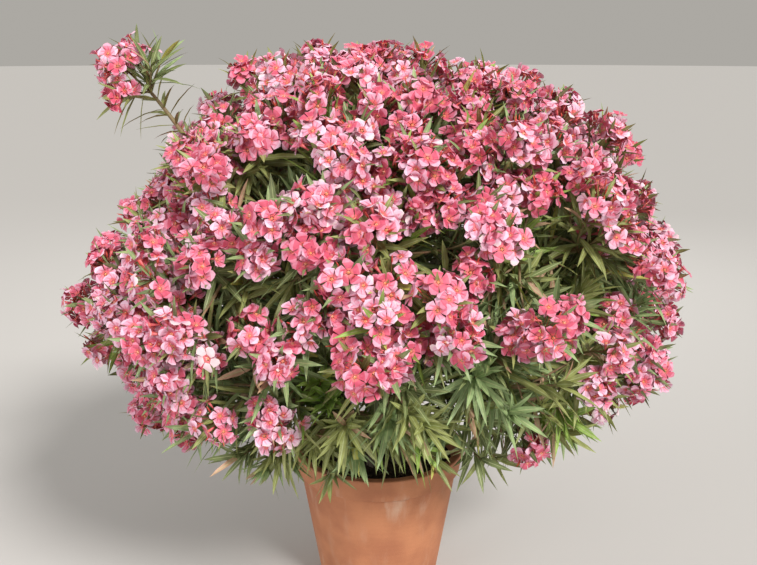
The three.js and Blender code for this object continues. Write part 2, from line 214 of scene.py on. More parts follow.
# %% Stems from the soil to their forks
GAP = 0.3 * MM
SOIL_HEIGHT = 362 * MM
STEM_COUNT = 6
STEM_ROOT_RADIUS, STEM_TIP_RADIUS = 19 * MM, 13.5 * MM
FOOT_OUT, FORK_OUT, FORK_HEIGHT = 62 * MM, 150 * MM, 630 * MM
STEM_BOW = 16 * MM

stem = np.arange(STEM_COUNT)
stem_out = polar((stem + vary(0.5, 0.33, stem, 1)) / STEM_COUNT * FULL_TURN, 0.0)
stem_foot = stem_out * vary(FOOT_OUT, 0.15, stem, 2)[:, None] + UP * (SOIL_HEIGHT + GAP)
fork_out, fork_height = vary(FORK_OUT, 0.1, stem, 3), vary(FORK_HEIGHT, 0.05, stem, 4)
stem_fork = stem_out * fork_out[:, None] + UP * fork_height[:, None]
stem_curves = quadratic(stem_foot, (stem_foot + stem_fork) / 2 - stem_out * STEM_BOW, stem_fork)
stem_girth = vary(STEM_ROOT_RADIUS, 0.1, stem, 5)
print(STEM_COUNT, "stems fork at", np.round(stem_fork[:, 2], 3), "m")

# %% Masses of shoots, on a golden spiral from the crown's top to its skirt
MASS_COUNT = 22
SPIRAL_START = math.radians(20)
TOP_SINE, SKIRT_SINE = 1.0, -0.62
BASE_SHARE, FORK_SHARE, HEAD_SHARE = 0.5, 0.63, 0.92
BOUGH_RADII = (9.5 * MM, 6.5 * MM)

mass = np.arange(MASS_COUNT)
mass_rise = np.arcsin(TOP_SINE + (SKIRT_SINE - TOP_SINE) * (mass + 0.5) / MASS_COUNT)
mass_way = polar(SPIRAL_START + mass * GOLDEN_ANGLE, mass_rise)
mass_base = crown_point(mass_way, np.full(MASS_COUNT, BASE_SHARE))
mass_fork = crown_point(mass_way, np.full(MASS_COUNT, FORK_SHARE))

# The stray shoot that arches out above the left shoulder
STRAY_STEM = 3
STRAY_BASE = np.array([-505, 30, 1255]) * MM
STRAY_FORK = np.array([-592, 30, 1375]) * MM
STRAY_HEADS = np.array([[-658, 20, 1440], [-618, 35, 1462], [-652, 5, 1364]]) * MM
STRAY_TUFTS = np.array([[-560, 35, 1450], [-575, -10, 1440]]) * MM
print(MASS_COUNT, "masses, whose leaves begin at", np.round(mass_base[:, 2].min(), 3), "m and above")

# %% Boughs from the forks to the masses
BOUGH_OFF_AXIS, BOUGH_BELOW_FORK = 0.75, 0.6
BOUGH_SPLAY, BOUGH_RISE, BOUGH_STRAIGHTENING = 0.22, 0.24, 0.3
LIMB_SAMPLES = np.linspace(0, 1, 24)


def nearest_stem(direction):
    """The number of the stem whose fork lies nearest in plan to each direction."""
    turn = np.arctan2(direction[:, 1], direction[:, 0])[:, None]
    away = turn - np.arctan2(stem_fork[:, 1], stem_fork[:, 0])
    return np.argmin(np.abs(np.arctan2(np.sin(away), np.cos(away))), axis=1)


def bough_curves(stems, ends, ways):
    """Each bough leaves the side of its stem's fork, rises with the stem, and bends to its end."""
    fork = stem_fork[stems]
    stem_way = bezier(stem_curves[stems], [1.0])[1][:, 0]
    across = ends - fork
    across = unit(across - stem_way * dot(across, stem_way))
    length = np.linalg.norm(ends - fork, axis=-1, keepdims=True)
    foot = fork + (across * BOUGH_OFF_AXIS - stem_way * BOUGH_BELOW_FORK) * STEM_TIP_RADIUS
    leaving = foot + (across * BOUGH_SPLAY + stem_way * BOUGH_RISE) * length
    return np.stack([foot, leaving, ends - ways * BOUGH_STRAIGHTENING * length, ends], axis=1)


bough_ends = np.vstack([mass_base, STRAY_BASE])
bough_ways = unit(np.vstack([mass_fork - mass_base, STRAY_FORK - STRAY_BASE]))
bough_stems = np.append(nearest_stem(mass_way), STRAY_STEM)
boughs = bough_curves(bough_stems, bough_ends, bough_ways)
limb_places = bezier(np.concatenate([stem_curves, boughs]), LIMB_SAMPLES)[0].reshape(-1, 3)
print(len(boughs), "boughs on stems", bough_stems)

# %% [markdown]
# ## Shoots
#
# Each mass forks into four shoots, as its solid does. The real plant goes on: the four fork
# again, and each last shoot ends in a head of flowers or a tuft of young leaves. The tips
# lie on a finer golden spiral, which spreads them evenly over the crown without rows. Each
# tip belongs to the mass whose direction is nearest, and grows from the nearest of the four.
# A few more tips have named places, where a head stands out on the near side.

# %% The four main shoots of each mass
SHOOTS_ROUND_FORK = 3
SHOOT_SPREAD = 0.25
SHOOT_BEND = 0.45
HEAD_UNEVENNESS = 0.05
SIDE_KNEE, MIDDLE_KNEE = 0.5, 0.74

number, k = np.meshgrid(mass, np.arange(1 + SHOOTS_ROUND_FORK), indexing="ij")
bearing = k / SHOOTS_ROUND_FORK * FULL_TURN + FULL_TURN * chance(number, 10)
side_way = lean(mass_way[:, None], SHOOT_SPREAD, bearing)
main_way = np.where(k[..., None] == 0, mass_way[:, None], side_way)
main_tip = crown_point(main_way, HEAD_SHARE - HEAD_UNEVENNESS * chance(number, 20 + k))


def bent(start, tip, way):
    """A shoot from start to tip that arrives the way it faces."""
    reach = np.linalg.norm(tip - start, axis=-1, keepdims=True)
    return quadratic(start, tip - way * SHOOT_BEND * reach, tip)


start = np.broadcast_to(mass_fork[:, None], main_tip.shape)
mains = bent(start, main_tip, facing(main_way))
mains[:, 0] = quadratic(mass_base, mass_fork, main_tip[:, 0])
knee_at = np.where(k == 0, MIDDLE_KNEE, SIDE_KNEE)
knees = bezier(mains, knee_at[..., None])[0][..., 0, :]
print(mains.shape[0] * mains.shape[1], "main shoots")

# %% The last shoots, on a finer spiral
SHOOT_COUNT = 520
LOWEST_SINE = -0.77
TIP_JITTER = math.radians(3.2)

# Each named head, and the turn and rise of its tip in degrees
NAMED_HEADS = (
    ("left flank", -130, 5),
    ("low left flank", -123, -1),
    ("left of the middle", -94, 26),
    ("high middle", -79, 51),
    ("below the crest", -87, 38),
    ("high right", -53, 40),
    ("right of the middle", -72, 24),
    ("middle", -86, 14),
    ("low middle", -75, 6),
    ("lower middle", -75, 2),
    ("low right", -60, 3),
    ("lowest", -91, -4),
    ("above the left gap", -111, 18),
    ("left edge", -162, 6),
)

step = np.arange(SHOOT_COUNT)
tip_rise = np.arcsin(1 + (LOWEST_SINE - 1) * (step + 0.5) / SHOOT_COUNT)
tip_rise = tip_rise + TIP_JITTER * (2 * chance(step, 61) - 1)
tip_turn = step * GOLDEN_ANGLE + TIP_JITTER * (2 * chance(step, 62) - 1) / np.cos(tip_rise)
named_turn, named_rise = np.radians([place[1:] for place in NAMED_HEADS]).T
tip_turn, tip_rise = np.append(tip_turn, named_turn), np.append(tip_rise, named_rise)
tip_way = polar(tip_turn, tip_rise)

shoot = np.arange(len(tip_way))
owner = np.argmax(tip_way @ mass_way.T, axis=1)
print(len(shoot), "tips, from", np.bincount(owner).min(), "to", np.bincount(owner).max(), "in a mass")

# %% [markdown]
# ## Where it blooms
#
# The heads don't cover the crown evenly. In leafy places no shoot has come into flower, and
# the heads round them lean away, which keeps the gaps open and green. Below a wavy line the
# shoots are in shade and carry leaves only, with a late head here and there.

# %% Leafy places
# Each place's name, turn, rise and radius in degrees
LEAFY_PLACES = (
    ("upper left", -111, 37, 7.5),
    ("left", -113, 9, 6.3),
    ("left inner", -104, 12, 4.4),
    ("low left", -114, -11, 6),
    ("low left edge", -153, -19, 6),
    ("low left rim", -139, -15, 5),
    ("left skirt", -168, -30, 5.5),
    ("under the left", -98, -17, 10),
    ("middle", -79, 21, 6),
    ("right", -54, 20, 6.5),
    ("right outer", -45, 12, 7),
    ("right inner", -60, 11, 6.5),
    ("right edge", -34, 2, 7.5),
    ("low right", -49, -9, 6),
    ("low right edge", -34, -17, 5),
    ("low right outer", -42, -3, 4),
    ("right skirt", -31, -21, 6),
    ("right flank", -13, -9, 5.5),
    ("below the middle", -69, 3, 3),
    ("crest right", -47, 48, 3),
    ("crest middle", -70, 46, 2.6),
    ("back left", 130, 22, 8),
    ("back right", 48, 8, 9),
    ("back middle", 92, 40, 6),
    ("back low", 100, -6, 7),
    ("left side", 178, 12, 6),
    ("right side", 8, 20, 6),
)
PARTING, PARTING_REACH = 0.9, math.radians(4)

leafy_ways = ways_of(LEAFY_PLACES)
leafy_radii = np.radians([place[3] for place in LEAFY_PLACES])


def to_leafy(way):
    """The angle from each direction to the middle of each leafy place, less the place's radius."""
    return angles_to(leafy_ways, way) - leafy_radii


def parted(way):
    """Heads lean away from a leafy place: by a share of what they lack to stand clear of it."""
    lack = np.maximum(PARTING_REACH - to_leafy(way), 0)[..., None] * PARTING
    away = way[:, None] - leafy_ways * (way @ leafy_ways.T)[..., None]
    return unit(way + (unit(away) * lack).sum(axis=1))


print(len(leafy_ways), "leafy places")

# %% Blooming tips and leafy tips
BLOOM_FLOOR = math.radians(-38)
FRONT_LIFT = math.radians(34)
FRONT_TURN, FRONT_WIDTH = math.radians(-69), math.radians(30)
BLOOM_CHANCE = 0.985
LATE_CHANCE = 0.04

from_front = (np.arctan2(tip_way[:, 1], tip_way[:, 0]) - FRONT_TURN) / FRONT_WIDTH
floor_rise = BLOOM_FLOOR + FRONT_LIFT * np.exp(-from_front**2)
leafy_place = np.any(to_leafy(tip_way) < 0, axis=1)
draw = chance(shoot, 63)
blooms = np.where(tip_rise > floor_rise, ~leafy_place & (draw < BLOOM_CHANCE), draw < LATE_CHANCE)
blooms = blooms | (shoot >= SHOOT_COUNT)
tip_way = np.where(blooms[:, None], parted(tip_way), tip_way)
print(int(blooms.sum()), "of", len(shoot), "shoots are in flower")

# %% [markdown]
# ### How far out a tip lies
#
# A real crown isn't smooth. Some shoots reach further than others, hollows draw whole groups
# in, and shoots in leafy places stay deeper. A leafy shoot turns up towards the light, so its
# rosette of leaves is seen from the side.

# %% Curves of the last shoots
# Each hollow's name, turn, rise and width in degrees, and how far it draws a tip in
HOLLOWS = (
    ("left crest", -158, 55, 13, 0.19),
    ("left shoulder", -157, 23, 18, 0.16),
    ("left skirt", -150, -20, 13, 0.1),
    ("right shoulder", -22, 17, 12, 0.13),
    ("right skirt", -28, -14, 10, 0.06),
    ("top", -20, 73, 14, 0.1),
)
FURTHEST_SHARE = 0.945
LEAFY_SHARE = 0.925
DEEP_SHARE = 0.79
TIP_UNEVENNESS = 0.15
LEAFY_LIFT, SKIRT_LIFT = 1.7, 0.7

share = np.where(blooms, FURTHEST_SHARE, np.where(leafy_place, DEEP_SHARE, LEAFY_SHARE))
share = share - TIP_UNEVENNESS * chance(shoot, 64) - hills(HOLLOWS, tip_way)
tips = crown_point(tip_way, share)
to_mains = np.linalg.norm(tips[:, None] - main_tip[owner], axis=-1)
parent = np.argmin(to_mains, axis=1)
rising = np.where(blooms, 0, np.where(tip_rise < 0, SKIRT_LIFT, LEAFY_LIFT))[:, None]
tip_facing = unit(facing(tip_way) + UP * rising)
shoots = bent(knees[owner, parent], tips, tip_facing)

stray_tips = np.concatenate([STRAY_HEADS, STRAY_TUFTS])
stray_way = unit(stray_tips - STRAY_FORK)
shoots = np.concatenate([shoots, bent(STRAY_FORK + 0 * stray_tips, stray_tips, stray_way)])
blooms = np.append(blooms, np.arange(len(stray_tips)) < len(STRAY_HEADS))
is_stray = np.arange(len(shoots)) >= len(shoot)
tip_facing = np.concatenate([tip_facing, stray_way])
stray_stem = quadratic(STRAY_BASE, (STRAY_BASE + STRAY_FORK) / 2 + UP * 6 * MM, STRAY_FORK)[None]
print(len(shoots), "last shoots from", len(np.unique(owner * 4 + parent)), "knees")

# %% Short shoots in the shade, which close the view through the crown
INNER_COUNT = 260
INNER_START, INNER_SPIRAL_START = 0.3, 1.0
INNER_SHARE, INNER_SPAN = 0.6, 0.2

inner = np.arange(INNER_COUNT)
inner_rise = np.arcsin(1 + (LOWEST_SINE - 1) * (inner + 0.5) / INNER_COUNT)
inner_way = polar(INNER_SPIRAL_START + inner * GOLDEN_ANGLE, inner_rise)
inner_tips = crown_point(inner_way, INNER_SHARE + INNER_SPAN * chance(inner, 66))
inner_from = mains[np.argmax(inner_way @ mass_way.T, axis=1), 0]
inner_shoots = bent(bezier(inner_from, [INNER_START])[0][:, 0], inner_tips, facing(inner_way))
print(len(inner_shoots), "short shoots")

# %% [markdown]
# ## From arrays to meshes
#
# One small shape is worked out for all of its places at once: an array of copies by corners.
# `spread` joins the copies into one part, and `make_piece` puts several parts into one mesh.
# `foreach_set` hands whole arrays to Blender, which is far quicker than face by face.

# %% Grids, parts and pieces
def grid_faces(rows, columns, wrap=False):
    """Two triangles for each cell of a grid of points, which may close on itself sideways."""
    cells_across = columns if wrap else columns - 1
    row, column = np.meshgrid(np.arange(rows - 1), np.arange(cells_across), indexing="ij")
    a = row * columns + column
    b = row * columns + (column + 1) % columns
    cells = np.stack([a, b, b + columns, a, b + columns, a + columns], axis=-1)
    return cells.reshape(-1, 3)


def spread(points, faces, finish=0):
    """Copies of one shape as one part: each copy's faces count on from the last copy's."""
    copies, corners = points.shape[:2]
    joined = faces[None] + corners * np.arange(copies)[:, None, None]
    finishes = np.broadcast_to(finish, (copies, len(faces)))
    return points.reshape(-1, 3), joined.reshape(-1, 3), finishes.reshape(-1)


def make_piece(name, parts, materials, nodes):
    """One object of several parts. It rides on the one body and stands for the nodes named."""
    shift = np.cumsum([0] + [len(part[0]) for part in parts[:-1]])
    points = np.concatenate([part[0] for part in parts])
    faces = np.concatenate([part[1] + move for part, move in zip(parts, shift)])
    finishes = np.concatenate([part[2] for part in parts])
    mesh = bpy.data.meshes.new(name)
    mesh.vertices.add(len(points))
    mesh.vertices.foreach_set("co", points.astype(np.float32).ravel())
    mesh.loops.add(faces.size)
    mesh.loops.foreach_set("vertex_index", faces.astype(np.int32).ravel())
    mesh.polygons.add(len(faces))
    mesh.polygons.foreach_set("loop_start", np.arange(0, faces.size, 3, dtype=np.int32))
    for material in materials:
        mesh.materials.append(material)
    mesh.polygons.foreach_set("material_index", finishes.astype(np.int32))
    mesh.polygons.foreach_set("use_smooth", np.ones(len(faces), bool))
    mesh.update()
    piece = bpy.data.objects.new(name, mesh)
    bpy.context.scene.collection.objects.link(piece)
    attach(piece, "root")
    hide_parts(*nodes)
    print(f"{name}: {len(faces)} triangles")


# %% Round limbs
def tube_faces(rings, sides):
    """A grid that wraps round, closed by a fan at its foot and a fan at its tip."""
    j = np.arange(sides)
    next_j = (j + 1) % sides
    foot = np.stack([np.full(sides, rings * sides), next_j, j], axis=-1)
    last = (rings - 1) * sides
    tip = np.stack([np.full(sides, rings * sides + 1), last + j, last + next_j], axis=-1)
    return np.concatenate([grid_faces(rings, sides, wrap=True), foot, tip])


def tubes(curves, radii, sides, until=1.0, finish=0):
    """P(t, a) = C(t) + r(t, a) (side cos a + other sin a), for curves (n, 4, 3)."""
    rings = radii.shape[1]
    centres, ways = bezier(curves, np.linspace(0, until, rings))
    steady = basis(unit(ways.mean(axis=1)))[0][:, None]
    side = unit(steady - ways * dot(steady, ways))
    other = np.cross(ways, side)
    angle = np.arange(sides) / sides * FULL_TURN
    around = side[:, :, None] * np.cos(angle)[:, None] + other[:, :, None] * np.sin(angle)[:, None]
    radii = np.broadcast_to(radii if radii.ndim == 3 else radii[..., None], around.shape[:3])
    walls = centres[:, :, None] + around * radii[..., None]
    cap = radii[:, -1].mean(axis=1)[:, None] * 0.5
    poles = np.stack([centres[:, 0], centres[:, -1] + ways[:, -1] * cap], axis=1)
    points = np.concatenate([walls.reshape(len(curves), -1, 3), poles], axis=1)
    return spread(points, tube_faces(rings, sides), finish)


def taper(curves, foot, tip, rings):
    """Radii that run evenly from foot to tip, the same for each curve."""
    return np.broadcast_to(np.linspace(foot, tip, rings), (len(curves), rings))


print("a tube of 2 rings and 4 sides has", len(tube_faces(2, 4)), "triangles")

# %% [markdown]
# ## Finishes
#
# A finish is a Principled shader whose colour, roughness and bump come from noise. Writing
# shader maths as Python expressions keeps it readable, so a small class wraps a socket and
# its operators add Math nodes. All patterns read Object coordinates, in metres, so a noise
# scale of 100 gives spots of about 10 mm.

# %% Sockets that do arithmetic
class Value:
    """A number that varies over a surface. Its operators add Math nodes."""

    def __init__(self, finish, socket):
        self.finish, self.socket = finish, socket

    def maths(self, operation, *values):
        sockets = dict(enumerate(values))
        return self.finish.node("ShaderNodeMath", {"operation": operation}, sockets)

    def __add__(self, other):
        return self.maths("ADD", self, other)

    def __mul__(self, other):
        return self.maths("MULTIPLY", self, other)

    def __sub__(self, other):
        return self.maths("SUBTRACT", self, other)

    def __rsub__(self, other):
        return self.maths("SUBTRACT", other, self)

    __radd__, __rmul__ = __add__, __mul__

    def between(self, low, high):
        """0 below low, 1 above high, and a smooth step from one to the other."""
        settings = {"interpolation_type": "SMOOTHSTEP"}
        sockets = {"Value": self, "From Min": low, "From Max": high}
        return self.finish.node("ShaderNodeMapRange", settings, sockets)


# %% Materials in the making
class Finish:
    """A material in the making. The method node adds any node and returns one of its outputs."""

    def __init__(self, name, colour, roughness):
        self.material = bpy.data.materials.new(name)
        self.material.use_nodes = True
        self.tree = self.material.node_tree
        self.shader = self.tree.nodes["Principled BSDF"]
        self.put("Base Color", colour)
        self.put("Roughness", roughness)
        self.material.diffuse_color = (*colour, 1)

    def feed(self, socket, value):
        """Links a value, or sets a number, a vector or a colour."""
        if isinstance(value, Value):
            self.tree.links.new(value.socket, socket)
        elif isinstance(value, tuple) and len(socket.default_value) == 4:
            socket.default_value = (*value, 1)
        else:
            socket.default_value = value

    def node(self, kind, settings, sockets, output=0):
        """Adds a node: its settings first, then its sockets get values or links."""
        made = self.tree.nodes.new(kind)
        for key, value in settings.items():
            setattr(made, key, value)
        for key, value in sockets.items():
            self.feed(made.inputs[key], value)
        return Value(self, made.outputs[output])

    def put(self, socket, value):
        """Feeds one of the Principled shader's own sockets."""
        self.feed(self.shader.inputs[socket], value)

    def place(self, stretch=(1, 1, 1)):
        """Object coordinates, squeezed along each axis by stretch."""
        here = self.node("ShaderNodeTexCoord", {}, {}, "Object")
        return self.node("ShaderNodeMapping", {}, {"Vector": here, "Scale": stretch})

    def noise(self, scale, detail=3, stretch=(1, 1, 1)):
        """Fractal noise from 0 to 1, with about scale spots to a metre."""
        sockets = {"Vector": self.place(stretch), "Scale": scale, "Detail": detail}
        return self.node("ShaderNodeTexNoise", {}, sockets)

    def mix(self, factor, one, two):
        """Colour one where the factor is 0, and colour two where it is 1."""
        return self.node("ShaderNodeMix", {"data_type": "RGBA"}, {0: factor, 6: one, 7: two}, 2)

    def bump(self, height, distance, strength=1.0):
        """Relief from a height of 0 to 1, which stands for distance in metres."""
        sockets = {"Height": height, "Distance": distance, "Strength": strength}
        self.put("Normal", self.node("ShaderNodeBump", {}, sockets, "Normal"))


# %% [markdown]
# ### Leaves
#
# A leaf is leathery, grey-green above, with a pale rib. Shoots differ in tint with age and
# light. A pattern that follows one leaf would be lost among thousands, so the tints are
# plain finishes dealt out by shoot, and noise only mottles each of them a little.

# %% Leaf finishes
def mottled(name, colour, darker, roughness, scale=45):
    """A soft surface of two close colours, mixed by noise."""
    finish = Finish(name, colour, roughness)
    finish.put("Base Color", finish.mix(finish.noise(scale).between(0.35, 0.7), colour, darker))
    return finish.material


LEAF_TINTS = {
    "leaf_grey_green": ((0.3, 0.42, 0.18), (0.2, 0.28, 0.12)),
    "leaf_olive_green": ((0.31, 0.35, 0.11), (0.225, 0.245, 0.08)),
    "leaf_deep_green": ((0.19, 0.24, 0.085), (0.14, 0.17, 0.065)),
    "leaf_fresh_green": ((0.33, 0.5, 0.1), (0.23, 0.36, 0.07)),
    "leaf_yellow_green": ((0.6, 0.6, 0.15), (0.46, 0.46, 0.1)),
    "leaf_dry": ((0.56, 0.36, 0.24), (0.4, 0.23, 0.14)),
}
LEAF_SHEEN = 0.5
leaf_finishes = [mottled(name, *pair, LEAF_SHEEN) for name, pair in LEAF_TINTS.items()]
rib_finish = mottled("leaf_rib", (0.48, 0.54, 0.27), (0.36, 0.41, 0.19), LEAF_SHEEN)
OLIVE, DEEP, YELLOW, DRY, RIB = 1, 2, 4, 5, 6
print(len(leaf_finishes), "leaf tints and a rib")

# %% [markdown]
# ### Blossom
#
# Petals run from rose to nearly white, deepest round the throat and palest at their ends. The
# pale ends are partly a painted highlight, and a deeper streak near the throat is partly painted
# shade. As with the leaves, each tint is a finish of its own. It is dealt out by head, by flower
# and by petal, because a gradient along each petal would need a map for thousands of them.

# %% Blossom finishes
PETAL_TINTS = {
    "petal_rose": ((0.67, 0.115, 0.195), (0.59, 0.07, 0.135)),
    "petal_pink": ((0.74, 0.245, 0.36), (0.68, 0.175, 0.275)),
    "petal_pale": ((0.81, 0.43, 0.57), (0.76, 0.34, 0.48)),
    "petal_light": ((0.87, 0.6, 0.75), (0.83, 0.51, 0.67)),
    "petal_blush": ((0.91, 0.72, 0.77), (0.88, 0.63, 0.69)),
}
petal_finishes = [mottled(name, *pair, 0.55, scale=120) for name, pair in PETAL_TINTS.items()]
heart_finish = mottled("petal_heart", (0.82, 0.2, 0.21), (0.76, 0.13, 0.15), 0.55, scale=200)
HEART = len(petal_finishes)
throat_finish = mottled("throat", (0.86, 0.4, 0.12), (0.82, 0.24, 0.09), 0.6, scale=300)
fringe_finish = mottled("fringe", (0.95, 0.62, 0.45), (0.9, 0.4, 0.35), 0.6, scale=300)
bud_finish = mottled("bud", (0.76, 0.12, 0.08), (0.62, 0.06, 0.05), 0.5, scale=150)
stalk_finish = mottled("stalk", (0.42, 0.12, 0.06), (0.26, 0.14, 0.05), 0.6, scale=90)
print(HEART, "petal tints and a heart")

# %% [markdown]
# ### Bark
#
# Oleander bark is smooth and grey-brown with pale pores, and splits in fine lines as it ages.
# Noise drawn out along the limb gives the lines, and fine round noise gives the pores.

# %% Bark finishes
def bark(name, light, dark, fissures):
    """Smooth grey bark: long patches, fine fissures along the limb and pale pores."""
    finish = Finish(name, light, 0.8)
    patches = finish.noise(28, 5, (1, 1, 0.3)).between(0.35, 0.65)
    lines = finish.noise(260, 4, (1, 1, 0.12)).between(0.45, 0.7)
    pores = finish.noise(420, 2).between(0.66, 0.74)
    colour = finish.mix(patches, light, dark)
    colour = finish.mix(lines * fissures, colour, tuple(0.45 * c for c in dark))
    pale = tuple(min(1.0, 1.7 * c) for c in light)
    finish.put("Base Color", finish.mix(pores * 0.6, colour, pale))
    finish.put("Roughness", 0.72 + lines * 0.2)
    finish.bump(pores * 0.5 + patches * 0.3 - lines * fissures, 1.2 * MM)
    return finish.material


stem_bark = bark("stem_bark", (0.26, 0.22, 0.17), (0.13, 0.11, 0.085), 0.9)
bough_bark = bark("bough_bark", (0.2, 0.2, 0.12), (0.12, 0.1, 0.065), 0.5)
twig_bark = mottled("twig_bark", (0.24, 0.2, 0.09), (0.22, 0.12, 0.065), 0.6, scale=60)
print("bark:", stem_bark.name, bough_bark.name, twig_bark.name)

# %% [markdown]
# ## Bark on the stems and boughs
#
# The solid limbs are plain tapered tubes. The real ones swell at the foot, have scars where
# leaves once sat and a surface that is never quite round. The radius is therefore a function
# of the way along and the way round, and everything else is the tube's own formula.

# %% Stems and boughs with relief
ALL_MASSES = [f"{i + 1:02d}" for i in range(MASS_COUNT)] + ["stray"]
ROOT_FLARE, FLARE_DECAY = 0.55, 12
FORK_SWELL = 0.12
SCAR_SPACING = 34 * MM
RIDGE_HEIGHT, SCAR_HEIGHT = 0.045, 0.045


def relief(curves, rings, sides, seed):
    """Ridges that wander along the limb, and a low swelling at each ring of leaf scars.

    The ridges are the sum over four waves w of sin((w + 1) a + phase) / (w + 1), where the
    phase drifts along the limb. The scars are a cosine along it, raised to the sixth power.
    """
    steps = np.diff(bezier(curves, np.linspace(0, 1, 30))[0], axis=1)
    lengths = np.linalg.norm(steps, axis=-1).sum(axis=1)
    along = np.linspace(0, 1, rings)[None, :, None] * lengths[:, None, None]
    angle = (np.arange(sides) / sides * FULL_TURN)[None, None]
    limb = np.arange(len(curves))[:, None, None]
    total = np.zeros((len(curves), rings, sides))
    for wave in range(1, 5):
        phase = FULL_TURN * chance(limb, seed + wave)
        drift = along * (18 + 23 * wave)
        total += np.sin(angle * (wave + 1) + phase + 1.6 * np.sin(drift + phase)) / (wave + 1)
    scars = np.cos(along / SCAR_SPACING * FULL_TURN + 0.7 * np.sin(angle + limb))
    return RIDGE_HEIGHT * total + SCAR_HEIGHT * np.maximum(scars, 0) ** 6


def limbs(curves, radii, sides, seed, roughness=1.0):
    """Tubes whose radii are multiplied by 1 + roughness times the relief."""
    rough = relief(curves, radii.shape[1], sides, seed)
    return tubes(curves, radii[..., None] * (1 + roughness * rough), sides)


STEM_RINGS, STEM_SIDES = 90, 24
along = np.linspace(0, 1, STEM_RINGS)[None]
stem_radii = stem_girth[:, None] + (STEM_TIP_RADIUS - stem_girth[:, None]) * along
flare = 1 + ROOT_FLARE * np.exp(-along * FLARE_DECAY)
stem_radii = stem_radii * flare * (1 + FORK_SWELL * along**12)
stem_part = limbs(stem_curves, stem_radii, STEM_SIDES, 70)
make_piece("stems", [stem_part], [stem_bark], [f"stem_{i + 1}" for i in stem])

BOUGH_RINGS, BOUGH_SIDES = 70, 14
bough_part = limbs(boughs, taper(boughs, *BOUGH_RADII, BOUGH_RINGS), BOUGH_SIDES, 80, roughness=0.8)
make_piece("boughs", [bough_part], [bough_bark], [f"bough_{m}" for m in ALL_MASSES])

# %% [markdown]
# ## Twigs
#
# The main shoots and the last shoots are thin tubes, thicker where they carry more. Five to
# seven sides are enough at a few millimetres.

# %% Twigs
FOLIAGE_NODES = [f"foliage_{m}" for m in ALL_MASSES]
side_mains = mains[:, 1:].reshape(-1, 4, 3)

# Each part: curves, radii from foot to tip over a number of rings, sides, and where it ends
twig_parts = [
    tubes(mains[:, 0], taper(mass, 6.3 * MM, 4.4 * MM, 12), 7, MIDDLE_KNEE),
    tubes(side_mains, taper(side_mains, 4.6 * MM, 3.7 * MM, 7), 6, SIDE_KNEE),
    tubes(shoots, taper(shoots, 3.5 * MM, 2.1 * MM, 8), 5),
    tubes(inner_shoots, taper(inner_shoots, 3.2 * MM, 2.1 * MM, 6), 5),
    tubes(stray_stem, taper(stray_stem, 6.3 * MM, 4.6 * MM, 9), 7),
]
make_piece("twigs", twig_parts, [twig_bark], FOLIAGE_NODES)

# %% [markdown]
# ## Leaves
#
# Oleander leaves sit in whorls of three, each whorl turned half a step from the last. A leaf
# is a narrow lance, folded a little along its rib. It is a surface of two parameters: t
# along the rib from stalk to tip, and s across it from edge to edge. Two of the four columns
# of points lie close to the rib, so that the strip between them can have the rib's finish.

# %% The leaf surface
LEAF_ROWS = np.array([0.0, 0.15, 0.43, 0.76, 1.0])
LEAF_HALF_WIDTHS = np.array([0.1, 0.68, 1.0, 0.66, 0.03])
LEAF_COLUMNS = np.array([-1.0, -0.1, 0.1, 1.0])
LEAF_FOLD = 0.32


def leaf_points(roots, ways, faces_up, lengths, widths, arch, sag):
    """P(s, t) = root + L t way + w(t) s side + (fold w(t) |s| - arch L t^2) face - sag L t^2 up."""
    side = unit(np.cross(faces_up, ways))[:, None, None]
    face = np.cross(ways, side[:, 0, 0])[:, None, None]
    t = LEAF_ROWS[None, :, None, None]
    s = LEAF_COLUMNS[None, None, :, None]
    size = lengths[:, None, None, None]
    half = (widths[:, None] / 2 * LEAF_HALF_WIDTHS)[:, :, None, None]
    lift = LEAF_FOLD * half * np.abs(s) - arch[:, None, None, None] * size * t * t
    points = roots[:, None, None] + ways[:, None, None] * size * t + side * half * s + face * lift
    return (points - UP * sag[:, None, None, None] * size * t * t).reshape(len(roots), -1, 3)


leaf_faces = grid_faces(len(LEAF_ROWS), len(LEAF_COLUMNS))
print("a leaf has", len(leaf_faces), "triangles")

# %% Whorls
LEAF_LENGTH, LEAF_WIDTH = 113 * MM, 14.5 * MM
LEAVES_IN_WHORL = 3
WHORL_JITTER, BEARING_JITTER = 0.35, 0.5
LENGTH_VARIES, WIDTH_VARIES, OPENING_VARIES = 0.16, 0.14, 0.22
SHORTER_AT_TIP = 0.25
LEAST_ARCH, ARCH_SPAN = 0.05, 0.1
YOUNG_SAG, OLD_SAG = 0.04, 0.3


def whorls(curves, first, last, count, seed):
    """Places on each curve for count whorls: point, tangent, way along, and a number for draws."""
    number, step = np.meshgrid(np.arange(len(curves)), np.arange(count), indexing="ij")
    jitter = WHORL_JITTER * (chance(number * 9 + step, seed) - 0.5)
    at = first + (last - first) * (step + jitter) / (count - 1)
    points, ways = bezier(curves, at)
    return points.reshape(-1, 3), ways.reshape(-1, 3), at.ravel(), number.ravel(), step.ravel()


